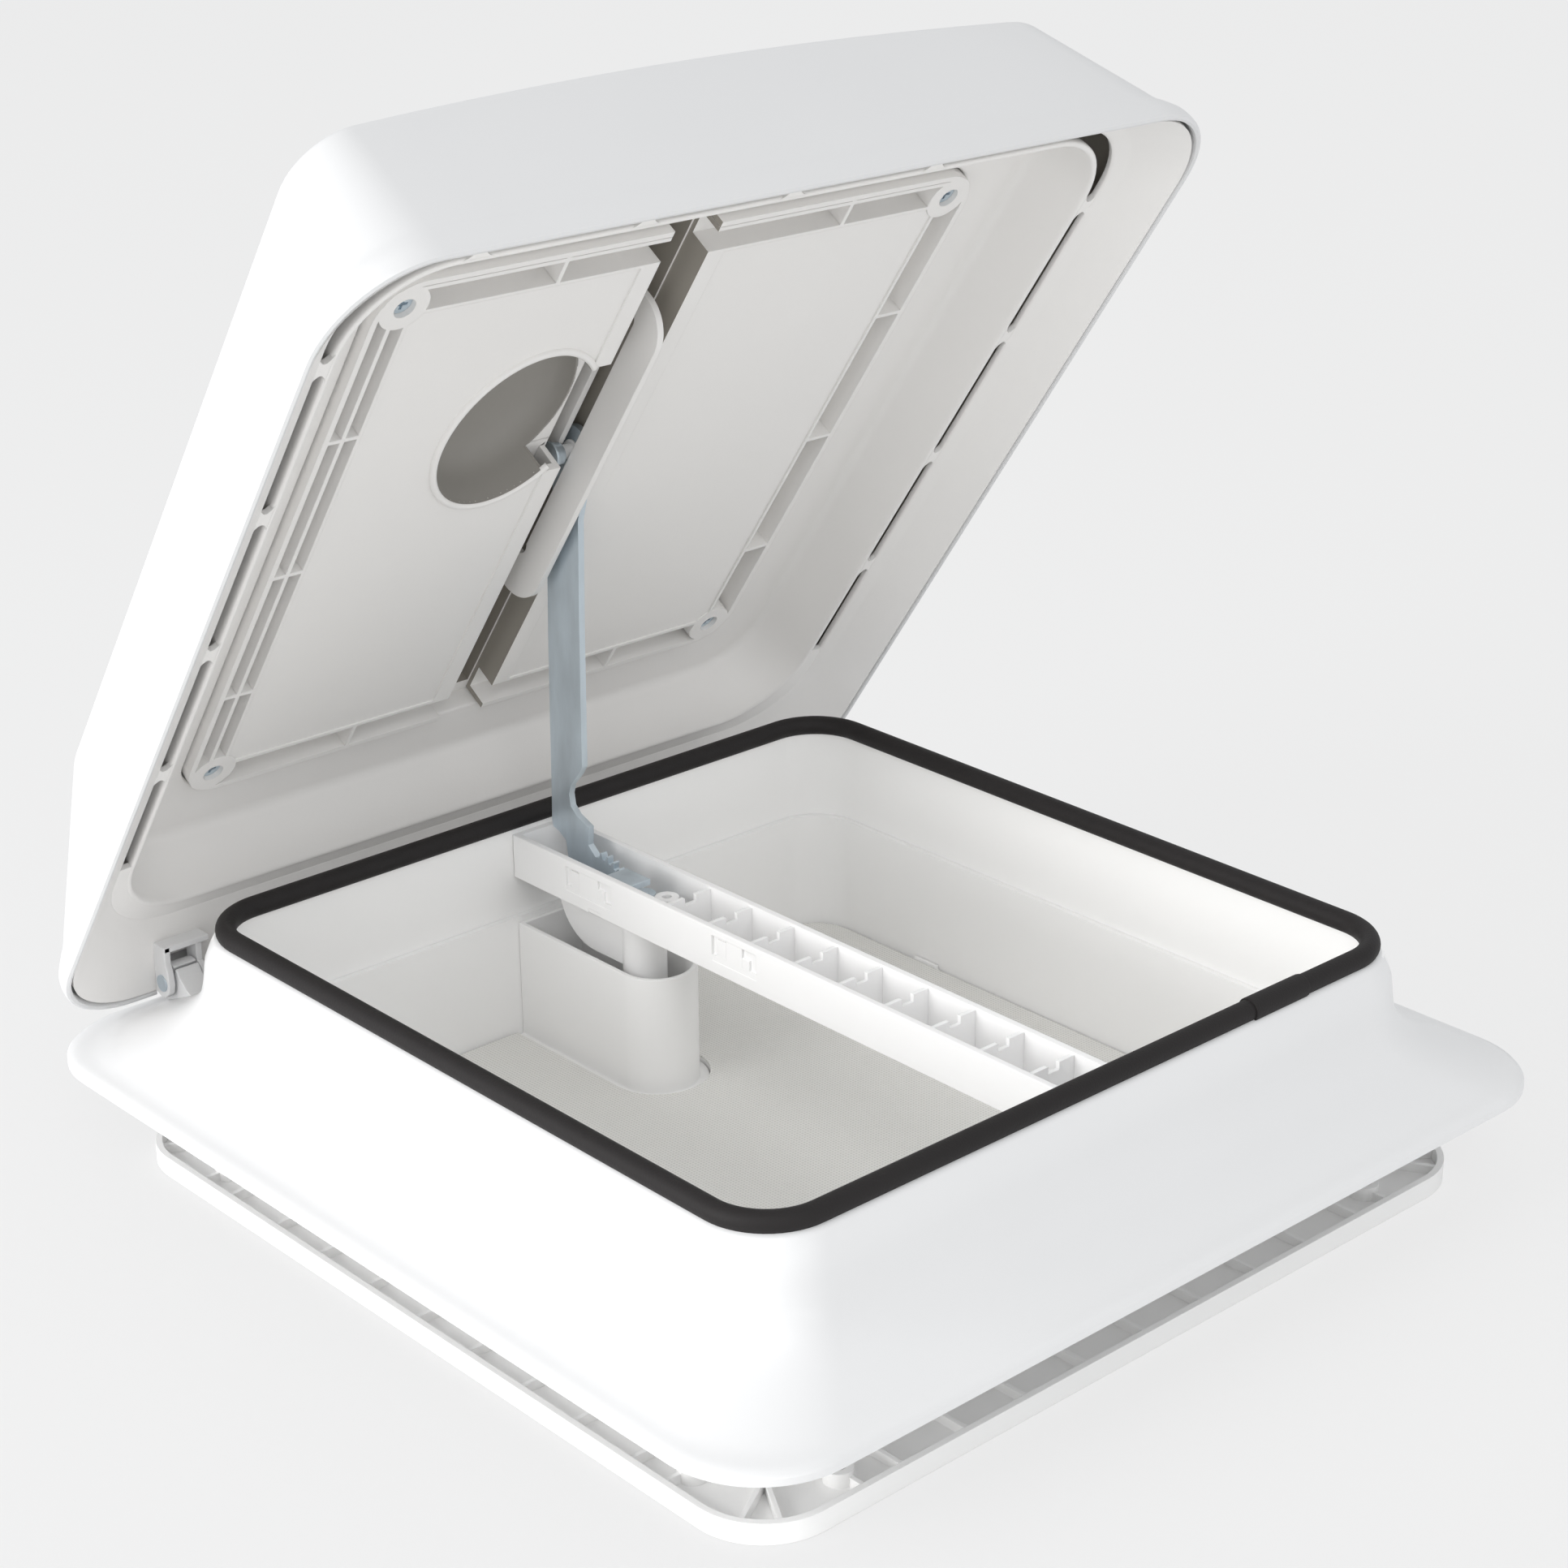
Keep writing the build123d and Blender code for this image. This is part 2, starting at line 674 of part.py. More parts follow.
def arm_outline():
    """Outline of the lifting arm's strip in (y, z), from the gear up to the pin."""
    pin_y, pin_z = arm_pin_place()
    y0, z0 = pivot_y(), pivot_z
    root = sector_pitch_radius() - tooth_dedentum
    length = pin_z - z0
    left_shares = ((1.0, 0.04), (1.08, 0.068), (1.12, 0.098), (1.34, 0.112), (1.52, 0.117), (1.56, 0.132),
                   (1.54, 0.19), (1.46, 0.57), (1.38, 0.78))
    right_shares = ((0.38, 0.85), (0.46, 0.6), (0.52, 0.29), (0.545, 0.284), (0.64, 0.268), (0.9, 0.236),
                    (0.97, 0.212), (0.93, 0.185), (0.76, 0.168), (0.38, 0.152), (0.4, 0.11))
    left = [(y0 + arm_width * across, z0 + length * up) for across, up in left_shares]
    right = [(y0 + arm_width * across, z0 + length * up) for across, up in right_shares]
    tip = [(pin_y + arm_width / 2, pin_z - arm_width * arm_tip_share), (pin_y - arm_width / 2, pin_z)]
    toe = [(y0, z0 - root / 2), (y0 + root * sector_toe_share, z0)]
    return toe + left + tip + right + [(y0 - root / 3, z0 + root / 2)]


def arm_pin_place():
    """Y and Z of the arm's pin with the lid open."""
    angle = math.radians(open_angle)
    along_y, along_z = -math.cos(angle), math.sin(angle)
    up_y, up_z = math.sin(angle), math.cos(angle)
    centre_y = hinge_y + (lid_y - hinge_y) * math.cos(angle) + (lid_seat - hinge_z) * math.sin(angle)
    centre_z = hinge_z - (lid_y - hinge_y) * math.sin(angle) + (lid_seat - hinge_z) * math.cos(angle)
    return (centre_y + pin_along * along_y + pin_rise * up_y, centre_z + pin_along * along_z + pin_rise * up_z)


def make_lift_arm():
    pin_y, pin_z = arm_pin_place()
    far = arm_near_x + arm_thickness
    root = sector_pitch_radius() - tooth_dedentum
    arm = plate_x(arm_outline(), arm_near_x, far)
    arm += rod_x(pin_y, pin_z, arm_width / 2, arm_near_x, far)
    arm += rod_x(pivot_y(), pivot_z, root, arm_near_x, far)
    arm += sector_gear(far)
    arm -= rod_x(pivot_y(), pivot_z, pivot_pin_radius + running_gap + bush_wall, arm_near_x - overrun, far + overrun)
    arm -= rod_x(pin_y, pin_z, pin_shank_radius, arm_near_x - overrun, far + overrun)
    return arm


def sector_gear(far):
    """Teeth of the sector, from below the worm's line up to the strip."""
    pitch_radius = sector_pitch_radius()
    step = 360 / sector_teeth
    tip_radius = pitch_radius + tooth_addendum
    root_radius = pitch_radius - tooth_dedentum
    tip_half = worm_pitch * tooth_tip_share / 2
    root_half = worm_pitch * tooth_root_share / 2
    teeth = Part()
    count = int((sector_span[1] - sector_span[0]) / step)
    first = math.ceil(sector_span[0] / step - 0.5) + 0.5
    for index in range(count):
        angle = (first + index) * step
        tooth = plate_x(((-root_radius + tooth_dedentum / 2, -root_half), (-root_radius + tooth_dedentum / 2, root_half),
                         (-root_radius, root_half), (-tip_radius, tip_half), (-tip_radius, -tip_half),
                         (-root_radius, -root_half)), arm_near_x, far)
        teeth += Pos(0, pivot_y(), pivot_z) * Rot(-angle, 0, 0) * tooth
    return teeth


def make_pivot_bush():
    far = arm_near_x + arm_thickness
    low = casing_near_x + casing_wall + side_gap
    high = casing_far_x - casing_wall - side_gap
    bush = rod_x(pivot_y(), pivot_z, pivot_pin_radius + running_gap + bush_wall, low, high)
    collar = rod_x(pivot_y(), pivot_z, pivot_pin_radius + 2 * bush_wall + running_gap, low, arm_near_x)
    collar += rod_x(pivot_y(), pivot_z, pivot_pin_radius + 2 * bush_wall + running_gap, far, high)
    bore = rod_x(pivot_y(), pivot_z, pivot_pin_radius + running_gap, low - overrun, high + overrun)
    return bush + collar - bore


def make_arm_pin():
    y, z = arm_pin_place()
    far = arm_near_x + arm_thickness
    pin = rod_x(y, z, pin_shank_radius, pin_near_x, far + pin_tail_height)
    pin += rod_x(y, z, pin_head_radius, pin_near_x - pin_head_height, pin_near_x)
    pin += rod_x(y, z, pin_tail_radius, far, far + pin_tail_height)
    return pin


def make_pin_roller():
    y, z = arm_pin_place()
    high = arm_near_x - side_gap / 2
    low = guide_near_x - side_gap
    roller = rod_x(y, z, roller_radius, low, high)
    roller += rod_x(y, z, roller_radius * washer_radius_share, high - pin_washer_height, high)
    return roller - rod_x(y, z, pin_shank_radius + running_gap, low - overrun, high + overrun)


def make_pin_washer():
    y, z = arm_pin_place()
    high = guide_near_x - side_gap
    low = pin_near_x
    washer = rod_x(y, z, roller_radius * washer_radius_share, low, high - side_gap / 2)
    return washer - rod_x(y, z, pin_shank_radius + running_gap, low - overrun, high + overrun)


def make_drive_worm():
    core_radius = worm_pitch_radius - worm_root
    length = worm_pitch * worm_turns
    low = pivot_z - length / 2 - worm_pitch
    high = pivot_z + length / 2 + worm_pitch / 2
    core = rod_z(shaft_x, shaft_y, core_radius, low, high)
    start = pivot_z - worm_pitch / 4 - worm_pitch * worm_turns / 2
    path = Helix(worm_pitch, length, core_radius, center=(0, 0, 0))
    half_root = worm_pitch * worm_thread_share / 2
    half_tip = half_root / 2
    depth = worm_root + worm_tip
    outline = Polyline((-worm_root / 4, -half_root), (-worm_root / 4, half_root), (depth, half_tip), (depth, -half_tip),
                       close=True)
    profile = Plane(origin=path @ 0, x_dir=(1, 0, 0), z_dir=path % 0) * make_face(outline)
    thread = sweep(profile, path=path, is_frenet=True)
    worm = core + Pos(shaft_x, shaft_y, start) * thread
    return worm - rod_z(shaft_x, shaft_y, shaft_radius - shaft_flat_depth(), low - overrun, high + overrun)


def shaft_flat_depth():
    """How much the shaft is turned down where the worm is pressed on."""
    return shaft_radius / 3


def make_drive_shaft():
    neck = shaft_radius - shaft_flat_depth()
    length = worm_pitch * worm_turns
    seat = pivot_z - length / 2 - worm_pitch
    shaft = rod_z(shaft_x, shaft_y, neck, seat, shaft_top)
    shaft += rod_z(shaft_x, shaft_y, shaft_radius, shaft_bottom, seat)
    floor = sleeve_bottom + bearing_length
    shaft += rod_z(shaft_x, shaft_y, collar_radius, floor + side_gap, floor + side_gap + collar_height)
    return shaft


def make_shaft_clip():
    high = sleeve_bottom - side_gap
    clip = rod_z(shaft_x, shaft_y, collar_radius, high - collar_height / 2, high)
    clip -= rod_z(shaft_x, shaft_y, shaft_radius, high - collar_height, high + overrun)
    gap = shaft_radius / 2
    return clip - block(shaft_x - gap, shaft_x + gap, shaft_y, shaft_y + 2 * collar_radius, high - collar_height,
                        high + overrun)


def make_winder_knob():
    top = knob_bottom + knob_height
    knob = rod_z(shaft_x, shaft_y, knob_radius, knob_bottom, top)
    knob += rod_z(shaft_x, shaft_y, knob_hub_radius, top, top + knob_height / 2)
    for index in range(knob_flutes):
        angle = 360 / knob_flutes * (index + 0.5)
        flute = rod_z(knob_radius + knob_flute_radius / 2, 0, knob_flute_radius, knob_bottom - overrun,
                      top + overrun)
        knob -= Pos(shaft_x, shaft_y, 0) * Rot(0, 0, angle) * flute
    knob -= rod_z(shaft_x, shaft_y, shaft_radius, shaft_bottom, top + knob_height)
    knob -= peg_room()
    knob -= rod_x(peg_pin_place()[0], peg_pin_place()[1], peg_pin_radius, shaft_x - peg_pin_length / 2,
                  shaft_x + peg_pin_length / 2)
    return knob


def peg_pin_place():
    """Y and Z of the finger peg's hinge pin."""
    return shaft_y - peg_offset, knob_bottom + peg_height / 2


def peg_room():
    """Recess in the knob's underside that the folded peg lies in."""
    y = peg_pin_place()[0]
    return block(shaft_x - peg_width / 2 - peg_slot_gap, shaft_x + peg_width / 2 + peg_slot_gap,
                 y - peg_height / 2 - peg_slot_gap, y + peg_length + peg_slot_gap, knob_bottom - overrun,
                 knob_bottom + peg_height + peg_slot_gap)


def make_finger_peg():
    y, z = peg_pin_place()
    low, high = shaft_x - peg_width / 2, shaft_x + peg_width / 2
    peg = rod_x(y, z, peg_height / 2, low, high)
    peg += block(low, high, y, y + peg_length - peg_height / 2, knob_bottom, knob_bottom + peg_height)
    peg += rod_x(y + peg_length - peg_height / 2, z, peg_height / 2, low, high)
    return peg - rod_x(y, z, peg_pin_radius + running_gap, low - overrun, high + overrun)


def make_peg_pin():
    y, z = peg_pin_place()
    return rod_x(y, z, peg_pin_radius, shaft_x - peg_pin_length / 2, shaft_x + peg_pin_length / 2)


def lid_section(level, inset=0.0):
    """One level of the lid's outer form: its rise, three insets from the rim's sides and its corner radius."""
    rise, side_inset, free_inset, far_inset, radius = level
    half = lid_rim_half - side_inset - inset
    y_low = lid_y - lid_rim_half + lid_rim_free_inset + free_inset + inset
    y_high = lid_y + lid_rim_half + lid_rim_hinge_extra - far_inset - inset
    return rounded_plan(half, y_low, y_high, radius - inset / 2, lid_z(rise))


def lid_levels():
    """Levels of the lid's outer form, with the walls carried on past the arched crown."""
    rim = -lid_rim_drop
    foot = (-lid_foot_drop, lid_foot_inset, lid_foot_inset / 2, lid_foot_inset, lid_foot_radius)
    crown = (lid_crown_rise, lid_crown_side_inset, lid_crown_free_inset, lid_crown_hinge_inset, lid_crown_radius)
    climb = 1 + (lid_arch + overrun) / (lid_crown_rise + lid_foot_drop)
    top = tuple(share_between(low, high, climb) for low, high in zip(foot, crown))
    return ((rim, 0, 0, 0, lid_rim_radius), (rim + lid_rim_height, 0, 0, 0, lid_rim_radius), foot, top)


def lid_form(inset):
    """Solid of the lid's outer form under its arched crown, drawn in by inset."""
    body = loft([lid_section(level, inset) for level in lid_levels()], ruled=True)
    half_chord = lid_rim_half - lid_crown_side_inset
    arch_radius = (half_chord ** 2 + lid_arch ** 2) / (2 * lid_arch)
    arch_middle = lid_z(lid_crown_rise + lid_arch) - arch_radius
    arch = Pos(0, lid_y, arch_middle) * Rot(90, 0, 0) * Cylinder(arch_radius - inset, 3 * lid_rim_half)
    return body & arch


def make_lid_shell():
    shell = lid_form(0.0)
    cavity = lid_form(lid_wall)
    cavity += extrude(lid_section(lid_levels()[0], lid_wall), -overrun)
    shell -= cavity
    for side in (-1, 1):
        shell -= hinge_notch(side * knuckle_x)
    return opened(shell)


def hinge_notch(x):
    """Gap in the lid's rear wall for one hinge bracket and the heads of its pin."""
    reach = knuckle_width / 2 + cheek_gap + cheek_thickness
    top = hinge_z + knuckle_radius + cheek_gap + cheek_top_wall
    notch = block(x - reach, x + reach, hinge_y - knuckle_radius - cheek_gap - knuckle_neck,
                  hinge_y + 2 * knuckle_radius, 0, top)
    head = reach + hinge_pin_head_height + contact_gap
    return notch + rod_x(hinge_y, hinge_z, hinge_pin_head_radius + contact_gap, x - head, x + head)


def lid_plan(half, radius, rise):
    """Rounded square about the panels' centre in the shut lid."""
    return rounded_plan(half, lid_y - half, lid_y + half, radius, lid_z(rise))


def lid_slab(half, radius, low, high):
    return extrude(lid_plan(half, radius, low), high - low)


def lid_block(x_low, x_high, along_low, along_high, rise_low, rise_high):
    """Block of the shut lid; along runs from the panels' centre to the free edge."""
    return block(x_low, x_high, lid_place(along_high), lid_place(along_low), lid_z(rise_low), lid_z(rise_high))


def make_lid_liner():
    liner = liner_ring_wall()
    deep = panel_recess_depth
    liner += lid_slab(panel_recess_half + liner_wall, panel_corner_radius + liner_wall, liner_seat_rise,
                      deep + liner_wall)
    liner -= lid_slab(panel_recess_half, panel_corner_radius, -overrun, deep)
    liner += trough_walls()
    liner += cup_walls()
    liner -= trough_room()
    liner -= cup_room()
    liner += liner_skin()
    liner += liner_tabs()
    for side in (-1, 1):
        liner -= hinge_notch(side * knuckle_x)
    for x, y in panel_screw_places():
        liner -= rod_z(x, y, panel_screw_radius, lid_z(0), lid_z(trough_depth))
    return opened(liner)


def liner_ring_wall():
    """Flared wall that stands round the rim seal, folded over into the seat that lies on the seal."""
    levels = ((liner_ring_half, -liner_ring_drop, liner_corner_radius),
              (liner_fold_half, -liner_fold_drop, liner_corner_radius - liner_flare),
              (liner_seat_half, liner_seat_rise, liner_corner_radius - liner_flare - liner_fold))
    outer = loft([lid_plan(half + liner_wall, radius + liner_wall, rise) for half, rise, radius in levels], ruled=True)
    half, rise, radius = levels[-1]
    outer += lid_slab(half + liner_wall, radius + liner_wall, rise, rise + liner_wall)
    inner = loft([lid_plan(half, radius, rise) for half, rise, radius in levels], ruled=True)
    return outer - inner


def liner_skin():
    """Inner skin of the lid's flare: a narrow flat strip beyond the slots, then a slope down to the rim."""
    slot_half = liner_ring_half + slot_band_width
    rim_half = lid_rim_half - lid_wall - skin_gap
    strip_rise = -liner_ring_drop
    levels = ((slot_half, strip_rise, 0, 0, liner_corner_radius),
              (slot_half + strip_width, strip_rise - strip_drop, 0, 0, liner_corner_radius),
              (rim_half, -lid_rim_drop, lid_rim_hinge_extra, lid_rim_free_inset, lid_rim_radius))
    under = loft([skin_plan(*level) for level in levels], ruled=True)
    over = loft([skin_plan(*level, liner_wall) for level in levels], ruled=True)
    over += extrude(skin_plan(*levels[-1], liner_wall), -liner_wall)
    opening = extrude(skin_plan(*levels[0]), liner_wall + overrun)
    return over - under - opening


def skin_plan(half, rise, hinge_extra, free_inset, radius, lift=0.0):
    """Plan of one level of the flare's skin, longer on the hinge side and drawn in on the free side."""
    return rounded_plan(half, lid_y - half + free_inset, lid_y + half + hinge_extra, radius, lid_z(rise + lift))


def trough_walls():
    """Deep trough between the inner panels that takes the arm and its guide plate."""
    return lid_block(trough_near_x - liner_wall, trough_far_x + liner_wall, -trough_end - liner_wall,
                     trough_end + liner_wall, panel_recess_depth, trough_depth + liner_wall)


def trough_room():
    return lid_block(trough_near_x, trough_far_x, -trough_end, trough_end, -overrun, trough_depth)


def cup_walls():
    """Round cup beside the trough, with a wide mouth into it."""
    half = cup_radius * cup_mouth_share + liner_wall
    walls = rod_z(cup_x, lid_place(cup_place), cup_radius + liner_wall, lid_z(panel_recess_depth),
                  lid_z(cup_depth + liner_wall))
    return walls + lid_block(cup_x, trough_near_x, cup_place - half, cup_place + half, panel_recess_depth,
                             cup_depth + liner_wall)


def cup_room():
    room = rod_z(cup_x, lid_place(cup_place), cup_radius, lid_z(0), lid_z(cup_depth))
    half = cup_radius * cup_mouth_share
    return room + lid_block(cup_x, trough_near_x + overrun, cup_place - half, cup_place + half, 0, cup_depth)


def liner_tabs():
    """Short bridges over the slots between the ring and the flare's skin, and a full bridge on the hinge side."""
    low = -liner_ring_drop
    high = low + liner_wall
    inner = liner_ring_half + liner_wall / 2
    reach = liner_ring_half + slot_band_width + strip_width / 2
    tabs = lid_block(-liner_ring_half + liner_corner_radius, liner_ring_half - liner_corner_radius, -reach, -inner,
                     low, high)
    for share in tab_side_shares:
        place = liner_ring_half * share
        for side in (-1, 1):
            near, far = sorted((side * inner, side * reach))
            tabs += lid_block(near, far, place - tab_width / 2, place + tab_width / 2, low, high)
    for share in tab_top_shares:
        place = liner_ring_half * share
        tabs += lid_block(place - tab_width / 2, place + tab_width / 2, inner, reach, low, high)
    return tabs


def panel_screw_places():
    """X and Y of the four screws that hold the panels in the shut lid."""
    reach = panel_screw_place
    return [(side * reach, lid_place(end * reach)) for side in (-1, 1) for end in (-1, 1)]


def panel_half():
    return panel_recess_half - panel_gap


def make_panel(side):
    """One of the two ribbed panels that close the lid on either side of the trough."""
    half = panel_half()
    low, top = panel_edge_rise, panel_recess_depth
    cell_floor = top - panel_base_wall
    body = lid_slab(half, panel_corner_radius - panel_gap, low, top)
    inner = half - panel_border_wall
    island_half = inner - panel_cell_width
    cells = lid_slab(inner, panel_corner_radius - panel_gap - panel_border_wall, low - overrun, cell_floor)
    cells -= lid_slab(island_half, panel_border_wall, low - overrun, cell_floor)
    body -= cells - panel_webs(half, low - overrun, cell_floor)
    face_half = island_half - panel_rib_wall
    face = lid_block(-face_half, face_half, -face_half, face_half, low - overrun, low + panel_face_drop)
    face -= lid_block(trough_near_x - panel_strip_width, trough_far_x + panel_strip_width, -half, half,
                      low - overrun, low + panel_face_drop)
    body -= face
    body -= panel_hollows(side, face_half, low + panel_face_drop + panel_face_wall, top)
    for x, y in panel_screw_places():
        body += rod_z(x, y, panel_boss_radius, lid_z(low), lid_z(top))
        body -= rod_z(x, y, panel_screw_head_radius + contact_gap, lid_z(low - overrun), lid_z(panel_screw_head_height))
        body -= rod_z(x, y, panel_screw_radius, lid_z(0), lid_z(top + overrun))
    reach = 2 * half
    if side < 0:
        body &= lid_block(-reach, trough_near_x - panel_gap, -reach, reach, low - overrun, 2 * top)
        body += rod_z(cup_x, lid_place(cup_place), cup_radius + panel_rib_wall, lid_z(low), lid_z(top))
        body -= rod_z(cup_x, lid_place(cup_place), cup_radius, lid_z(low - overrun), lid_z(2 * top))
        mouth = cup_radius * cup_mouth_share
        body -= lid_block(cup_x, trough_near_x, cup_place - mouth, cup_place + mouth, low - overrun, 2 * top)
    else:
        body &= lid_block(trough_far_x + panel_gap, reach, -reach, reach, low - overrun, 2 * top)
    return opened(body)


def panel_hollows(side, half, low, high):
    """Room behind the panel's face, open towards the liner, with a wall left round the trough and the cup."""
    edge = trough_near_x if side < 0 else trough_far_x
    wall = panel_gap + panel_face_wall
    near, far = sorted((edge + side * wall, side * half))
    hollow = lid_block(near, far, -half, half, low, high + overrun)
    if side < 0:
        reach = cup_radius + 2 * panel_rib_wall
        hollow -= rod_z(cup_x, lid_place(cup_place), reach, lid_z(low - overrun), lid_z(high + 2 * overrun))
        mouth = cup_radius * cup_mouth_share + 2 * panel_rib_wall
        hollow -= lid_block(cup_x, trough_near_x, cup_place - mouth, cup_place + mouth, low - overrun,
                            high + 2 * overrun)
    for x, y in panel_screw_places():
        hollow -= rod_z(x, y, panel_boss_radius + panel_web, lid_z(low - overrun), lid_z(high + 2 * overrun))
    return hollow


def panel_webs(half, low, high):
    """Webs that divide the panel's border into cells."""
    webs = Part()
    for share in tab_side_shares:
        place = liner_ring_half * share
        webs += lid_block(-half, half, place - panel_web / 2, place + panel_web / 2, low, high)
    for share in tab_top_shares:
        place = liner_ring_half * share
        webs += lid_block(place - panel_web / 2, place + panel_web / 2, -half, half, low, high)
    return webs


def make_panel_screws():
    screws = Part()
    slot = panel_screw_head_radius * screw_cross_share
    bar = panel_screw_head_radius * screw_slot_share
    for x, y in panel_screw_places():
        screw = rod_z(x, y, panel_screw_head_radius, lid_z(0), lid_z(panel_screw_head_height))
        screw += rod_z(x, y, panel_screw_radius, lid_z(0), lid_z(panel_screw_length))
        cross = block(x - slot, x + slot, y - bar, y + bar, lid_z(-overrun), lid_z(panel_screw_head_height / 2))
        cross += block(x - bar, x + bar, y - slot, y + slot, lid_z(-overrun), lid_z(panel_screw_head_height / 2))
        screws += screw - cross
    return opened(screws)


def make_guide_plate():
    far_x = guide_near_x + guide_thickness
    plate = lid_block(guide_near_x, far_x, guide_hinge_end, guide_free_end, -guide_drop, trough_depth)
    lower = plate.edges().filter_by(Axis.X).group_by(Axis.Z)[0]
    plate = fillet(lower, guide_corner_radius)
    plate += lid_block(guide_near_x - guide_foot_width, far_x, guide_hinge_end, guide_free_end,
                       trough_depth - guide_foot_thickness, trough_depth)
    middle = pin_rise - pin_travel / 2
    half = roller_radius + slot_clearance + pin_travel / 2
    plate -= lid_block(guide_near_x - overrun, far_x + overrun, slot_hinge_end, slot_free_end, middle - half,
                       middle + half)
    for end in (slot_hinge_end, slot_free_end):
        radius = slot_hole_radius if end == slot_hinge_end else half
        plate -= rod_x(lid_place(end), lid_z(middle), radius, guide_near_x - overrun, far_x + overrun)
    for place in guide_screw_places:
        plate -= rod_z(guide_screw_x(), lid_place(place), guide_screw_radius, lid_z(trough_depth - guide_foot_width),
                       lid_z(trough_depth + overrun))
    return opened(plate)


def guide_screw_x():
    return guide_near_x - guide_foot_width / 2


def make_guide_screws():
    screws = Part()
    low = trough_depth - guide_foot_thickness
    for place in guide_screw_places:
        screws += rod_z(guide_screw_x(), lid_place(place), guide_screw_radius, lid_z(low), lid_z(trough_depth))
        screws += rod_z(guide_screw_x(), lid_place(place), guide_screw_head_radius,
                        lid_z(low - guide_screw_head_height), lid_z(low))
    return opened(screws)


def make_hinge_bracket(side):
    """Moving half of one hinge: two cheeks joined by a top strip inside the lid's rear wall."""
    x = side * knuckle_x
    inner = knuckle_width / 2 + cheek_gap
    outer = inner + cheek_thickness
    top = hinge_z + knuckle_radius + cheek_gap + cheek_top_wall
    back = hinge_y + cheek_radius
    cheeks = Part()
    for end in (-1, 1):
        low, high = sorted((x + end * inner, x + end * outer))
        cheeks += rod_x(hinge_y, hinge_z, cheek_radius, low, high)
        cheeks += block(low, high, hinge_y - cheek_radius, back, hinge_z, top)
    cheeks += block(x - outer, x + outer, hinge_y - cheek_radius, back, top - cheek_top_wall, top)
    cheeks -= rod_x(hinge_y, hinge_z, hinge_pin_radius, x - outer - overrun, x + outer + overrun)
    return opened(cheeks)


def make_hinge_pins():
    pins = Part()
    for side in (-1, 1):
        x = side * knuckle_x
        reach = knuckle_width / 2 + cheek_gap + cheek_thickness
        pins += rod_x(hinge_y, hinge_z, hinge_pin_radius, x - reach, x + reach)
        end = x + side * reach
        low, high = sorted((end, end + side * hinge_pin_head_height))
        pins += rod_x(hinge_y, hinge_z, hinge_pin_head_radius, low, high)
    return opened(pins)


def write_part(name, part):
    export_step(part, os.path.join("parts", name + ".step"))


def main():
    os.makedirs("parts", exist_ok=True)
    pieces = {
        "outer_frame": make_outer_frame,
        "rim_seal": make_rim_seal,
        "seal_sleeve": make_seal_sleeve,
        "ceiling_frame": make_ceiling_frame,
        "winder_pocket": make_winder_pocket,
        "net_frame": make_net_frame,
        "fly_net": make_fly_net,
        "crossbar": make_crossbar,
        "bar_screws": make_bar_screws,
        "worm_keeper": make_worm_keeper,
        "pivot_pin": make_pivot_pin,
        "lift_arm": make_lift_arm,
        "pivot_bush": make_pivot_bush,
        "arm_pin": make_arm_pin,
        "pin_roller": make_pin_roller,
        "pin_washer": make_pin_washer,
        "drive_worm": make_drive_worm,
        "drive_shaft": make_drive_shaft,
        "shaft_clip": make_shaft_clip,
        "winder_knob": make_winder_knob,
        "finger_peg": make_finger_peg,
        "peg_pin": make_peg_pin,
        "lid_shell": make_lid_shell,
        "lid_liner": make_lid_liner,
        "left_panel": lambda: make_panel(-1),
        "right_panel": lambda: make_panel(1),
        "panel_screws": make_panel_screws,
        "guide_plate": make_guide_plate,
        "guide_screws": make_guide_screws,
        "left_hinge_bracket": lambda: make_hinge_bracket(-1),
        "right_hinge_bracket": lambda: make_hinge_bracket(1),
        "hinge_pins": make_hinge_pins,
    }
    for name, make in pieces.items():
        write_part(name, make())


main()
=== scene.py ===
"""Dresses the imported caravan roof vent: smooth shells, rounded fittings, materials, light and camera."""
import math

import bmesh
import bpy
import numpy as np
from mathutils import Matrix, Vector


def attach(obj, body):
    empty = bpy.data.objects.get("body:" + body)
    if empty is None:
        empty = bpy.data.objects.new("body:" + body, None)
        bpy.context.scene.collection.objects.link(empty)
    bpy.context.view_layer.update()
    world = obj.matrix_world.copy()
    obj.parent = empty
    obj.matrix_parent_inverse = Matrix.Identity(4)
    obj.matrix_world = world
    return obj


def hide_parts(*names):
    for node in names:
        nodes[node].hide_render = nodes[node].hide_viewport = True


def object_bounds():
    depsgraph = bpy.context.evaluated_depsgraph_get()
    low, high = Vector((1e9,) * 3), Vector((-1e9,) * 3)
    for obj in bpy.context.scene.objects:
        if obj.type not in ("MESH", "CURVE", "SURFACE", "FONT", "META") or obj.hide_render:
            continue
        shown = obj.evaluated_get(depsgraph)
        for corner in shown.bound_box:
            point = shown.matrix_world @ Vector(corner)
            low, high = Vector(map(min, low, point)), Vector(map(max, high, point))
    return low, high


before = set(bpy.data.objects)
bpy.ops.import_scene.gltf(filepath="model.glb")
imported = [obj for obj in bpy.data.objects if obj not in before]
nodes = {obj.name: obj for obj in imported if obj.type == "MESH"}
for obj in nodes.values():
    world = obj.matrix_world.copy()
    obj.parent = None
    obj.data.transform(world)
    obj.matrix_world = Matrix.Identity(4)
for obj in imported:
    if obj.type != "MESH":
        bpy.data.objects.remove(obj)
cad_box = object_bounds()
scene = bpy.context.scene

MM = 0.001

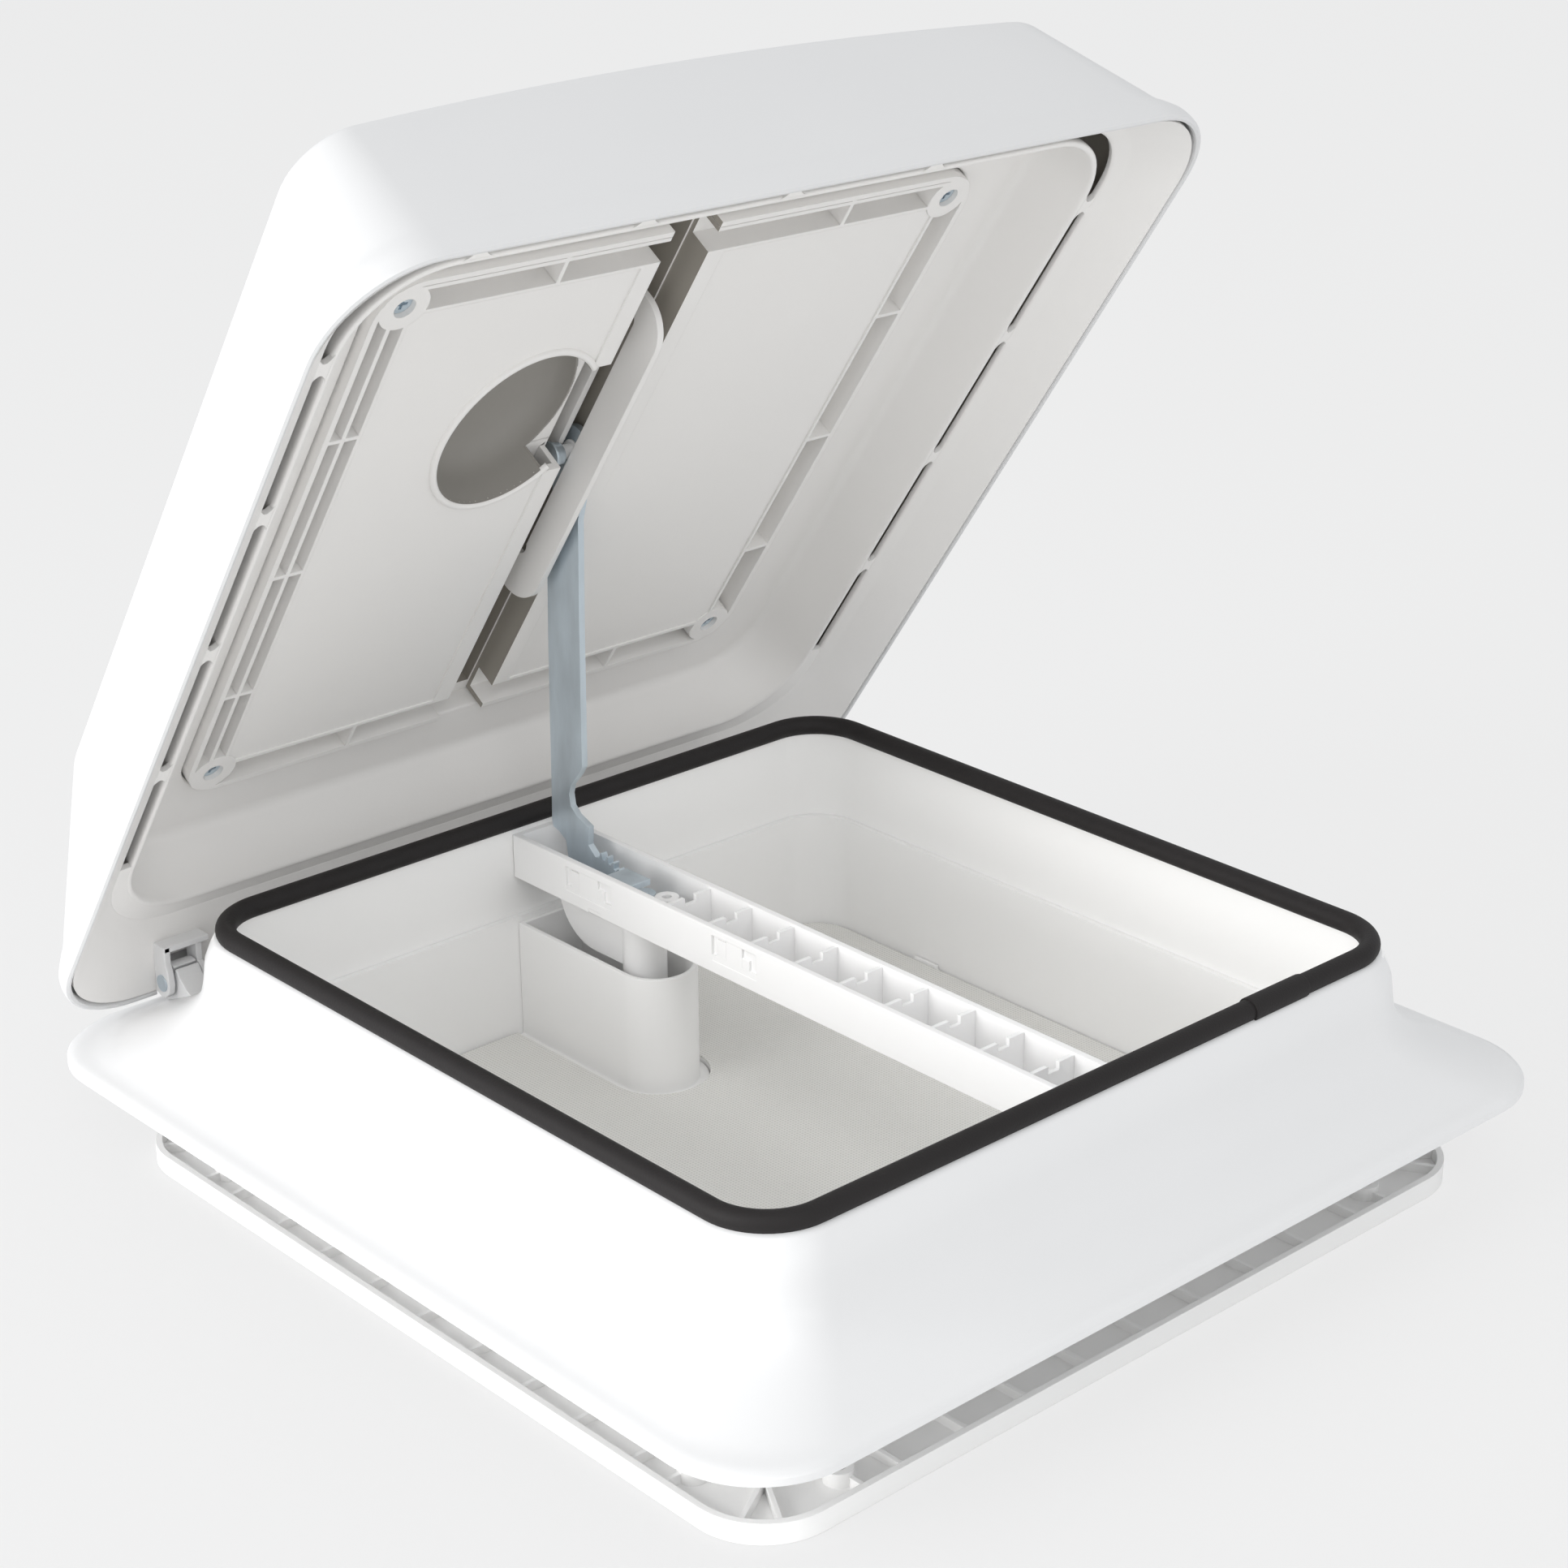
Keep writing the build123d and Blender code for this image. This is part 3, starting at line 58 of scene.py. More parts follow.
# Mesh making: corner steps, fillets, welds, rounded edges, and the step between faces that would coincide
ARC = 14
CORNER_SHARE, CORNER_STEPS = 0.45, 4
WELD, FLAT_ANGLE = 0.002, 0.4
BEVEL_SEGMENTS, BEVEL_ANGLE, NORMAL_WEIGHT = 2, 30.0, 60
JOIN = 0.02

# Angles over which an edge stays sharp, in degrees
FITTING_ANGLE, SKIN_ANGLE, SHELL_ANGLE, ROUND_ANGLE, SEAL_ANGLE = 32.0, 35, 40, 50, 60

# Lid: hinge line, opening and where the shut lid's panels lie, in millimetres
HINGE_Y, HINGE_Z = 173.73, 13.76
KNUCKLE_X = 125.5
OPEN_ANGLE = 55.33
LID_Y, LID_SEAT = 1.5, 52.5
SWING = (Matrix.Translation(Vector((0, HINGE_Y, HINGE_Z)) * MM)
         @ Matrix.Rotation(math.radians(-OPEN_ANGLE), 4, "X")
         @ Matrix.Translation(-Vector((0, HINGE_Y, HINGE_Z)) * MM))

# Camera fitted to the photograph, place in metres
CAMERA_PLACE = (-0.6319, -0.6962, 0.4881)
CAMERA_AZIMUTH, CAMERA_ELEVATION, CAMERA_ROLL = -42.87, 23.24, -0.07
CAMERA_LENS = 73.06
CAMERA_SHIFT = (-0.0274, 0.0321)
SENSOR_WIDTH = 36.0
NEAREST, FARTHEST = 0.05, 50.0


def new_object(name, mesh):
    """Puts a mesh into the scene under a name."""
    obj = bpy.data.objects.new(name, mesh)
    scene.collection.objects.link(obj)
    return obj


def apply_modifiers(obj):
    """Bakes the object's modifiers into its mesh."""
    bpy.context.view_layer.update()
    depsgraph = bpy.context.evaluated_depsgraph_get()
    mesh = bpy.data.meshes.new_from_object(obj.evaluated_get(depsgraph))
    obj.modifiers.clear()
    obj.data = mesh
    return obj


def smooth(obj, angle=FITTING_ANGLE):
    """Smooth shading with the edges sharper than the angle kept."""
    mesh = obj.data
    mesh.polygons.foreach_set("use_smooth", [True] * len(mesh.polygons))
    mesh.set_sharp_from_angle(angle=math.radians(angle))
    mesh.update()
    return obj


def bevelled(obj, width):
    """Rounds the hard edges of a closed piece."""
    bevel = obj.modifiers.new("bevel", "BEVEL")
    bevel.width = width * MM
    bevel.segments = BEVEL_SEGMENTS
    bevel.limit_method = "ANGLE"
    bevel.angle_limit = math.radians(BEVEL_ANGLE)
    bevel.use_clamp_overlap = True
    bevel.harden_normals = False
    bevel.miter_outer = "MITER_ARC"
    obj.data.polygons.foreach_set("use_smooth", [True] * len(obj.data.polygons))
    normals = obj.modifiers.new("normals", "WEIGHTED_NORMAL")
    normals.keep_sharp = True
    normals.weight = NORMAL_WEIGHT
    return apply_modifiers(obj)


def carried(node, body, material, width=0, name=None, keep=None, cutter=None):
    """A copy of a CAD node, cut and with rounded edges; without a name of its own it stands for the node."""
    mesh = nodes[node].data.copy()
    mesh.materials.clear()
    if "custom_normal" in mesh.attributes:
        mesh.attributes.remove(mesh.attributes["custom_normal"])
    obj = new_object(name or node + "_dressed", mesh)
    bm = bmesh.new()
    bm.from_mesh(mesh)
    bmesh.ops.remove_doubles(bm, verts=bm.verts, dist=WELD * MM)
    if cutter:
        bm.to_mesh(mesh)
        carve(obj, cutter)
        mesh = obj.data
        bm.clear()
        bm.from_mesh(mesh)
    if keep:
        gone = [v for v in bm.verts if not keep(v.co)]
        bmesh.ops.delete(bm, geom=gone, context="VERTS")
    if width:
        bmesh.ops.dissolve_limit(bm, angle_limit=math.radians(FLAT_ANGLE), verts=bm.verts, edges=bm.edges,
                                 delimit=set())
    bmesh.ops.recalc_face_normals(bm, faces=bm.faces)
    bm.to_mesh(mesh)
    bm.free()
    if width:
        bevelled(obj, width)
    else:
        smooth(obj)
    obj.data.materials.append(material)
    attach(obj, body)
    if name is None:
        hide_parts(node)
    return obj


def rounded_ring(half, y_low, y_high, radius, z):
    """Points round a rounded rectangle, anticlockwise from its +X +Y corner."""
    points = []
    corners = ((half - radius, y_high - radius, 0), (-half + radius, y_high - radius, 90),
               (-half + radius, y_low + radius, 180), (half - radius, y_low + radius, 270))
    for x, y, start in corners:
        for step in range(ARC + 1):
            angle = math.radians(start + 90 * step / ARC)
            points.append((x + radius * math.cos(angle), y + radius * math.sin(angle), z))
    return points


def spline(points, steps):
    """Catmull-Rom curve through points of any dimension."""
    p = np.array(points, float)
    p = np.vstack([2 * p[0] - p[1], p, 2 * p[-1] - p[-2]])
    out = []
    for i in range(1, len(p) - 2):
        for k in range(steps):
            t = k / steps
            a, b, c, d = p[i - 1:i + 3]
            out.append(0.5 * (2 * b + (c - a) * t + (2 * a - 5 * b + 4 * c - d) * t * t
                              + (3 * b - a - 3 * c + d) * t ** 3))
    out.append(p[-2])
    return [tuple(q) for q in out]


def fillet(points, radius):
    """Rounds the corners of an open profile; the first two numbers of a point are its place."""
    p = [np.array(q, float) for q in points]
    out = [tuple(p[0])]
    for before, here, after in zip(p, p[1:], p[2:]):
        a, b = before - here, after - here
        la, lb = np.hypot(*a[:2]), np.hypot(*b[:2])
        reach = min(radius, la * CORNER_SHARE, lb * CORNER_SHARE)
        start, end = here + a * reach / la, here + b * reach / lb
        for k in range(CORNER_STEPS + 1):
            t = k / CORNER_STEPS
            out.append(tuple((1 - t) ** 2 * start + 2 * t * (1 - t) * here + t * t * end))
    out.append(tuple(p[-1]))
    return out


def skin(name, rings, loop=False):
    """Closed mesh over rings of equal length; loop joins the last ring to the first in place of end caps."""
    count = len(rings[0])
    verts = [tuple(c * MM for c in point) for ring in rings for point in ring]
    faces = []
    last = len(rings) if loop else len(rings) - 1
    for r in range(last):
        for k in range(count):
            n = (k + 1) % count
            s = (r + 1) % len(rings)
            faces.append((r * count + k, r * count + n, s * count + n, s * count + k))
    if not loop:
        faces.append(tuple(range(count))[::-1])
        faces.append(tuple((len(rings) - 1) * count + k for k in range(count)))
    mesh = bpy.data.meshes.new(name)
    mesh.from_pydata(verts, [], faces)
    mesh.validate()
    bm = bmesh.new()
    bm.from_mesh(mesh)
    bmesh.ops.recalc_face_normals(bm, faces=bm.faces)
    bm.to_mesh(mesh)
    bm.free()
    return new_object(name, mesh)


def frame_rings(profile, centre=0.0):
    """Rings from profile points (half side, height, corner radius, reach added on the hinge side)."""
    return [rounded_ring(half, centre - half, centre + half + extra, radius, z)
            for half, z, radius, extra in profile]


def lid_rings(profile):
    """Rings of the shut lid from (half side, rise above the panel screws, corner radius)."""
    return frame_rings([(half, LID_SEAT + rise, radius, 0) for half, rise, radius in profile], LID_Y)


def swing(obj):
    """Turns a piece of the shut lid to its open place."""
    obj.data.transform(SWING)
    obj.data.update()
    return obj


def dress(obj, body, material, *replaced):
    """Gives a piece its material, its body and the CAD nodes that it stands for."""
    obj.data.materials.clear()
    obj.data.materials.append(material)
    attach(obj, body)
    if replaced:
        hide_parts(*replaced)
    return obj


# Materials

def blank_material(name):
    """New material with its node tree, its shader and the place on the object."""
    material = bpy.data.materials.new(name)
    material.use_nodes = True
    tree = material.node_tree
    place = tree.nodes.new("ShaderNodeTexCoord").outputs["Object"]
    return material, tree, tree.nodes["Principled BSDF"], place


def noise(tree, place, scale, detail):
    """Cloudy texture over a place."""
    texture = tree.nodes.new("ShaderNodeTexNoise")
    texture.inputs["Scale"].default_value = scale
    texture.inputs["Detail"].default_value = detail
    tree.links.new(place, texture.inputs["Vector"])
    return texture.outputs["Fac"]


def vary_colour(tree, shader, texture, low, high):
    """Lets a texture change the colour from one to another."""
    tint = tree.nodes.new("ShaderNodeMix")
    tint.data_type = "RGBA"
    tint.inputs["A"].default_value = (*low, 1)
    tint.inputs["B"].default_value = (*high, 1)
    tree.links.new(texture, tint.inputs["Factor"])
    tree.links.new(tint.outputs["Result"], shader.inputs["Base Color"])


def vary_gloss(tree, shader, texture, low, high):
    """Lets a texture change the roughness from one value to another."""
    gloss = tree.nodes.new("ShaderNodeMapRange")
    gloss.inputs["To Min"].default_value = low
    gloss.inputs["To Max"].default_value = high
    tree.links.new(texture, gloss.inputs["Value"])
    tree.links.new(gloss.outputs["Result"], shader.inputs["Roughness"])


def vary_skin(tree, shader, texture, strength, distance):
    """Lets a texture raise the skin and gives back the node that does it."""
    bump = tree.nodes.new("ShaderNodeBump")
    bump.inputs["Strength"].default_value = strength
    bump.inputs["Distance"].default_value = distance
    tree.links.new(texture, bump.inputs["Height"])
    tree.links.new(bump.outputs["Normal"], shader.inputs["Normal"])
    return bump


def shade(colour, share):
    """A colour made darker or lighter by a share, white at most."""
    return [min(1.0, c * share) for c in colour]


def plastic(name, colour, roughness, grain=0.02, grain_scale=900.0, cloud=0.015, edge=0.0):
    """Moulded plastic: faint cloudy colour, fine skin texture, slow changes in gloss and softened edges."""
    material, tree, shader, place = blank_material(name)
    shader.inputs["IOR"].default_value = 1.48
    slow = noise(tree, place, scale=14.0, detail=4.0)
    vary_colour(tree, shader, slow, shade(colour, 1 - cloud), shade(colour, 1 + cloud))
    vary_gloss(tree, shader, slow, roughness - 0.05, roughness + 0.06)
    fine = noise(tree, place, grain_scale, detail=2.0)
    bump = vary_skin(tree, shader, fine, strength=grain, distance=0.0004)
    if edge:
        soft = tree.nodes.new("ShaderNodeBevel")
        soft.samples = 6
        soft.inputs["Radius"].default_value = edge * MM
        tree.links.new(soft.outputs["Normal"], bump.inputs["Normal"])
    return material


def tinted(obj, material, chosen):
    """Gives the chosen faces of a piece another material."""
    obj.data.materials.append(material)
    index = len(obj.data.materials) - 1
    for polygon in obj.data.polygons:
        if chosen(polygon):
            polygon.material_index = index
    return obj


def rubber(name, colour):
    """Dull sealing rubber with a dusty, slightly ribbed skin."""
    material = plastic(name, colour, 0.62, grain=0.25, grain_scale=1400.0, cloud=0.25)
    material.node_tree.nodes["Principled BSDF"].inputs["Specular IOR Level"].default_value = 0.28
    return material


def zinc_steel(name, colour):
    """Bluish zinc plating: cloudy colour, soft streaks and a semi-bright finish."""
    material, tree, shader, place = blank_material(name)
    shader.inputs["Metallic"].default_value = 0.7
    stretch = tree.nodes.new("ShaderNodeMapping")
    stretch.inputs["Scale"].default_value = (1.0, 1.0, 0.25)
    tree.links.new(place, stretch.inputs["Vector"])
    clouds = noise(tree, stretch.outputs["Vector"], scale=90.0, detail=6.0)
    ramp = tree.nodes.new("ShaderNodeValToRGB")
    for element, position, share in zip(ramp.color_ramp.elements, (0.3, 0.75), (0.8, 1.12)):
        element.position = position
        element.color = (*shade(colour, share), 1)
    tree.links.new(clouds, ramp.inputs["Fac"])
    tree.links.new(ramp.outputs["Color"], shader.inputs["Base Color"])
    vary_gloss(tree, shader, clouds, 0.3, 0.5)
    vary_skin(tree, shader, clouds, strength=0.15, distance=0.0002)
    return material


def net_cloth(name, colour):
    """Fine woven net: crossed threads in colour and bump."""
    material, tree, shader, place = blank_material(name)
    shader.inputs["Roughness"].default_value = 0.75
    weave = tree.nodes.new("ShaderNodeMath")
    weave.operation = "MAXIMUM"
    for socket, axis in zip(weave.inputs, "XY"):
        wave = tree.nodes.new("ShaderNodeTexWave")
        wave.bands_direction = axis
        wave.inputs["Scale"].default_value = 250.0
        wave.inputs["Distortion"].default_value = 0.4
        tree.links.new(place, wave.inputs["Vector"])
        tree.links.new(wave.outputs["Fac"], socket)
    threads = weave.outputs["Value"]
    vary_colour(tree, shader, threads, shade(colour, 0.8), colour)
    vary_skin(tree, shader, threads, strength=0.5, distance=0.0003)
    return material


WHITE = plastic("outer_white", (0.78, 0.78, 0.782), 0.3)
# Lid shell: the frame's white painted darker, painted shade standing in for the shade on its upward free wall
LID_PAINTED_SHADE = plastic("lid_white_painted_shade", (0.715, 0.715, 0.717), 0.32)
# Tub inside and the fittings in and under it: the frame's white painted whiter, painted light standing in for
# the light that falls into the tub
TUB_PAINTED_LIGHT = plastic("tub_white", (0.95, 0.945, 0.935), 0.4, edge=0.4)
INNER = plastic("lid_inner", (0.86, 0.845, 0.825), 0.45, grain=0.06, edge=0.45)
# Painted shade: a dark brown standing in for the shade in the lid's deep hollows, slots, trough and shell
# underside
PAINTED_SHADE = plastic("lid_painted_shade", (0.36, 0.335, 0.295), 0.55, grain=0.06)
# Painted shade: a dark brown standing in for the shade in the cup's bowl
BOWL_PAINTED_SHADE = plastic("cup_bowl", (0.34, 0.325, 0.30), 0.5, grain=0.06)
BAR = plastic("bar_white", (0.93, 0.925, 0.92), 0.35, edge=0.4)
RUBBER = rubber("seal_rubber", (0.016, 0.014, 0.014))
ZINC = zinc_steel("zinc_steel", (0.62, 0.70, 0.76))
NET = net_cloth("net_fabric", (0.86, 0.85, 0.82))

# Outer frame: tub lip, collar, flared skirt and flange as one closed profile
TUB_SKIN_HALF, TUB_SKIN_TOP = 137.8, 46.5
RIM_FILLET = 1.4
FRAME_STEPS = 5
rim_top = [(136.5, 47.6, 19.5, 0), (140.0, 47.6, 23.0, 0), (141.9, 46.7, 24.5, 0), (143.5, 43.4, 25.6, 0),
           (144.9, 39.2, 26.5, 0)]
frame_flare = [(145.45, 34.9, 27.0, 0), (146.0, 30.0, 27.3, 0.2), (147.15, 24.9, 27.8, 0.5),
               (149.75, 20.0, 28.4, 1.1), (153.55, 15.9, 29.2, 1.8), (158.5, 12.5, 30.2, 2.7),
               (165.45, 8.6, 31.4, 4.0), (172.0, 5.4, 32.4, 5.0), (176.8, 4.1, 32.8, 5.6)]
edge = [(178.6, 3.4, 33, 5.7), (179.15, 2.6, 33, 5.7), (179.15, 0.4, 33, 5.7), (178.7, 0.0, 33, 5.7)]
under = [(156.5, 0.0, 30, 3.0), (155.0, 9.0, 29, 2.4), (150.5, 14.5, 28, 1.8), (146.5, 20.0, 27, 0.8),
         (143.8, 26.0, 26, 0), (142.8, 40.0, 25, 0), (139.0, 41.0, 22.0, 0)]
tub = [(139.0, -19.6, 22.0, 0), (138.6, -20.0, 22, 0), (136.9, -20.0, 20, 0), (136.5, -19.6, 19.5, 0)]
frame_profile = fillet(rim_top, RIM_FILLET) + spline(frame_flare, FRAME_STEPS) + edge + under + tub
frame_shell = smooth(skin("outer_frame_shell", frame_rings(frame_profile), loop=True), SHELL_ANGLE)
dress(frame_shell, "base", WHITE, "outer_frame")


def in_tub(face):
    """Whether a face belongs to the inside of the tub, which is painted lighter than the frame's outside."""
    place = face.center / MM
    return max(abs(place.x), abs(place.y)) < TUB_SKIN_HALF and place.z < TUB_SKIN_TOP


# The tub's inside gets the whiter painted-light copy of the frame's white
tinted(frame_shell, TUB_PAINTED_LIGHT, in_tub)


def prism(bm, first, last):
    """Adds a closed prism between two outlines to a mesh being built."""
    layers = [[bm.verts.new(Vector(point) * MM) for point in outline] for outline in (first, last)]
    bm.faces.new(layers[0])
    bm.faces.new(layers[1][::-1])
    for k in range(len(first)):
        n = (k + 1) % len(first)
        bm.faces.new((layers[0][k], layers[0][n], layers[1][n], layers[1][k]))


def plate(bm, outline, x_low, x_high):
    """Adds a plate square to X, with its outline given in (y, z)."""
    prism(bm, *[[(x, y, z) for y, z in outline] for x in (x_low, x_high)])


def built(name, bm):
    """Turns a mesh being built into an object."""
    bmesh.ops.recalc_face_normals(bm, faces=bm.faces)
    mesh = bpy.data.meshes.new(name)
    bm.to_mesh(mesh)
    bm.free()
    return new_object(name, mesh)


def arc_points(y, z, radius, first, last, steps):
    """Points of an arc in (y, z) from one angle to another."""
    angles = [math.radians(first + (last - first) * k / steps) for k in range(steps + 1)]
    return [(y + radius * math.cos(a), z + radius * math.sin(a)) for a in angles]


# Hinge knuckles: split barrels on necks that rise from the flange
BARREL, BORE = 6.2, 2.1
BARREL_TURN, BARREL_STEPS = (122, 474), 44
BORE_TURN, BORE_STEPS = (466, 130), 24
KNUCKLE_HALF, KNUCKLE_EDGE = 4.5, 0.35
barrel_outline = arc_points(HINGE_Y, HINGE_Z, BARREL, *BARREL_TURN, BARREL_STEPS)
barrel_outline += arc_points(HINGE_Y, HINGE_Z, BORE, *BORE_TURN, BORE_STEPS)
neck_outline = ((161.0, 3.0), (161.0, 11.6), (164.5, 13.2), (168.2, 16.4), (169.6, 12.0), (170.4, 8.6),
                (173.7, 8.0), (177.0, 8.6), (177.9, 4.2), (177.9, 3.0))
knuckles = bmesh.new()
for side in (-1, 1):
    low, high = side * KNUCKLE_X - KNUCKLE_HALF, side * KNUCKLE_X + KNUCKLE_HALF
    plate(knuckles, barrel_outline, low, high)
    plate(knuckles, neck_outline, low + JOIN, high - JOIN)
dress(bevelled(built("hinge_knuckles", knuckles), KNUCKLE_EDGE), "base", WHITE)

# Rim seal
SEAL_LINE, SEAL_HEIGHT, SEAL_RADIUS, SEAL_CORNER = 137.75, 49.6, 3.5, 20.5
SEAL_STEP = 15
seal_profile = []
for turn in range(0, 360, SEAL_STEP):
    angle = math.radians(turn)
    reach, rise = SEAL_RADIUS * math.cos(angle), SEAL_RADIUS * math.sin(angle)
    seal_profile.append((SEAL_LINE + reach, SEAL_HEIGHT + rise, SEAL_CORNER + reach, 0))
seal = smooth(skin("rim_seal_bulb", frame_rings(seal_profile), loop=True), SEAL_ANGLE)
dress(seal, "base", RUBBER, "rim_seal")

# Lid shell: levels as half width, reach to the free edge, reach to the hinge side, corner radius and rise
FOOT = (170.4, 170.55, 176.4, 32.0, -25.0)
CROWN = (149.1, 160.9, 128.5, 19.0, 22.3)
SHELL_WALL = 2.5
ARCH = 8.5
ARCH_RADIUS = (CROWN[0] ** 2 + ARCH ** 2) / (2 * ARCH)
CROWN_SHARES = (0.97, 0.9, 0.75, 0.55, 0.3, 0.1)
CROWN_EDGE_WALL, CROWN_EDGE_TOP, CROWN_EDGE_STEPS = 0.06, 0.982, 6
SEARCH_FROM, SEARCH_TO, SEARCH_STEPS = 0.7, 1.4, 30
SIDE_STEPS = 12
FLARE_START, FLARE_STEPS = 0.10, 4
# Painted shade on the shell's underside: height in millimetres above which, and downward slope beyond which,
# faces are painted dark
DEPTH_FLOOR, FACES_DOWN = 24.0, -0.02


def between(low, high, share):
    """Point at a share of the way from one to another."""
    return tuple(l + (h - l) * share for l, h in zip(low, high))


def lid_ring(level, inset=0.0):
    """Ring of the shut lid at one level, drawn in by inset, with points along its straight sides."""
    half, free, far, radius, rise = level
    y_low, y_high = LID_Y - free + inset, LID_Y + far - inset
    ring = rounded_ring(half - inset, y_low, y_high, radius - inset, LID_SEAT + rise)
    points = []
    for k, point in enumerate(ring):
        points.append(point)
        if k % (ARC + 1) == ARC:
            after = ring[(k + 1) % len(ring)]
            points += [between(point, after, step / SIDE_STEPS) for step in range(1, SIDE_STEPS)]
    return points


def crown_height(x, inset):
    """Height of the arched crown above a place across the lid."""
    middle = LID_SEAT + CROWN[4] + ARCH - ARCH_RADIUS
    return middle + math.sqrt((ARCH_RADIUS - inset) ** 2 - x ** 2)


def crown_edge(foot, top, inset):
    """Points where the lid's sloping wall meets its arched crown."""
    points = []
    for low, high in zip(foot, top):
        first, last = SEARCH_FROM, SEARCH_TO
        for _ in range(SEARCH_STEPS):
            share = (first + last) / 2
            point = between(low, high, share)
            first, last = (share, last) if point[2] < crown_height(point[0], inset) else (first, share)
        points.append(between(low, high, share))
    return points


def crown_rings(inset):
    """Wall's top, its rounded edge and the arched crown, from the wall inwards."""
    foot = lid_ring(FOOT, inset)
    edge = crown_edge(foot, lid_ring(CROWN, inset), inset)
    middle = (0.0, LID_Y - (CROWN[1] - CROWN[2]) / 2)

    def on_crown(point, share):
        x, y = (m + (p - m) * share for m, p in zip(middle, point))
        return (x, y, crown_height(x, inset))

    rings = []
    wall = [between(e, f, CROWN_EDGE_WALL) for e, f in zip(edge, foot)]
    over = [on_crown(e, CROWN_EDGE_TOP) for e in edge]
    for step in range(CROWN_EDGE_STEPS + 1):
        t = step / CROWN_EDGE_STEPS
        rings.append([tuple((1 - t) ** 2 * w + 2 * t * (1 - t) * e + t * t * o for w, e, o in zip(*three))
                      for three in zip(wall, edge, over)])
    return rings + [[on_crown(e, share) for e in edge] for share in CROWN_SHARES]


def lid_shell_rings():
    """Closed skin of the lid: crown, outer wall, rounded lip, inner wall and the crown's underside."""
    flare = spline([between(FOOT, CROWN, FLARE_START), FOOT, (172.9, 171.9, 178.9, 33.0, -28.6),
                    (174.9, 172.8, 180.9, 33.7, -31.8), (175.5, 173.1, 181.5, 34.0, -34.6)], FLARE_STEPS)
    lip = [(175.5, 173.1, 181.5, 34.0, -36.7), (175.2, 172.8, 181.2, 33.8, -37.6),
           (174.3, 171.9, 180.3, 33.0, -38.0), (173.4, 171.0, 179.4, 32.2, -37.7),
           (173.05, 170.65, 179.05, 31.9, -36.8)]
    inside = [(172.9, 170.5, 178.9, 31.6, -33.8), (168.0, 168.1, 174.0, 29.6, -24.2)]
    rings = crown_rings(0.0)[::-1]
    rings += [lid_ring(level) for level in flare + lip + inside]
    return rings + crown_rings(SHELL_WALL)


def add_block(bm, low, high):
    """Adds a block between two corners to a mesh being built."""
    size = [h - l for l, h in zip(low, high)]
    middle = [(h + l) / 2 for l, h in zip(low, high)]
    matrix = Matrix.Translation(Vector(middle) * MM) @ Matrix.Diagonal((*[s * MM for s in size], 1))
    bmesh.ops.create_cube(bm, size=1.0, matrix=matrix)


def carve(obj, cutter):
    """Takes the cutter's room out of a closed piece and drops the cutter."""
    modifier = obj.modifiers.new("cut", "BOOLEAN")
    modifier.operation = "DIFFERENCE"
    modifier.solver = "EXACT"
    modifier.object = cutter
    apply_modifiers(obj)
    bpy.data.objects.remove(cutter)
    return obj


def cut(obj, *lows_and_highs):
    """Cuts blocks out of a closed piece; each block is given by its low and high corners."""
    for low, high in lows_and_highs:
        tool = bmesh.new()
        add_block(tool, low, high)
        carve(obj, built("cutter", tool))
    return obj


# Notches for the two hinges
NOTCH_HALF, NOTCH_FRONT, NOTCH_BACK, NOTCH_TOP = 7.4, 13.5, 12.0, 22.46
NOTCHES = [((side * KNUCKLE_X - NOTCH_HALF, HINGE_Y - NOTCH_FRONT, 0.0),
            (side * KNUCKLE_X + NOTCH_HALF, HINGE_Y + NOTCH_BACK, NOTCH_TOP)) for side in (-1, 1)]

lid_shell = cut(skin("lid_shell_moulding", lid_shell_rings()), *NOTCHES)
smooth(lid_shell, SHELL_ANGLE)
# The shell gets the darker painted-shade copy of the white
dress(lid_shell, "lid", LID_PAINTED_SHADE, "lid_shell")
# Painted shade on the shell's underside under the crown, which also darkens the slots
tinted(lid_shell, PAINTED_SHADE, lambda face: face.normal.z < FACES_DOWN and face.center.z > DEPTH_FLOOR * MM)
swing(lid_shell)

# Lid liner: the seat that lies on the seal and the flared ring round it, as half side, rise and corner radius
seat_profile = [(121.0, 8.6, 16.0), (121.0, 2.0, 16.0), (121.3, 1.45, 16.2), (121.9, 1.2, 16.6),
                (141.2, 1.2, 22.4), (143.0, 1.0, 23.8), (144.4, 0.1, 25.0), (145.5, -1.4, 26.1)]
seat_profile += [(149.1, -21.2, 29.7), (149.4, -22.2, 30.0), (149.8, -22.65, 30.3), (150.4, -22.7, 30.7),
                 (151.0, -22.65, 31.1), (151.4, -22.2, 31.5), (151.45, -21.0, 31.6)]
seat_profile += [(147.5, 0.6, 27.8), (145.9, 2.4, 26.4), (143.5, 3.2, 24.5), (123.6, 3.2, 18.4),
                 (123.0, 3.8, 18.0), (123.0, 8.6, 18.0)]
liner_ring = smooth(skin("liner_ring", lid_rings(seat_profile), loop=True), ROUND_ANGLE)
dress(swing(liner_ring), "lid", INNER, "lid_liner")

# Skin inside the flare: a flat strip beyond the slots, a crease and a slope down to the lip, as lid levels
CREASE = (159.5, 159.5, 159.5, 30.0, -25.4)
SLOPE_SHARES = (0.5, 0.9, 1)
SKIRT_EDGE = (172.9, 170.5, 178.9, 34.0, -37.2)
skin_profile = [(155.5, 155.5, 155.5, 30.2, -20.7), (155.3, 155.3, 155.3, 30.0, -22.3),
                (155.5, 155.5, 155.5, 30.0, -22.75), (156.2, 156.2, 156.2, 30.0, -23.2),
                (159.0, 159.0, 159.0, 30.0, -25.1), (159.5, 159.5, 159.5, 30.0, -25.45),
                (160.0, 160.0, 160.1, 30.1, -25.9)]
skin_profile += [between(CREASE, SKIRT_EDGE, share) for share in SLOPE_SHARES]
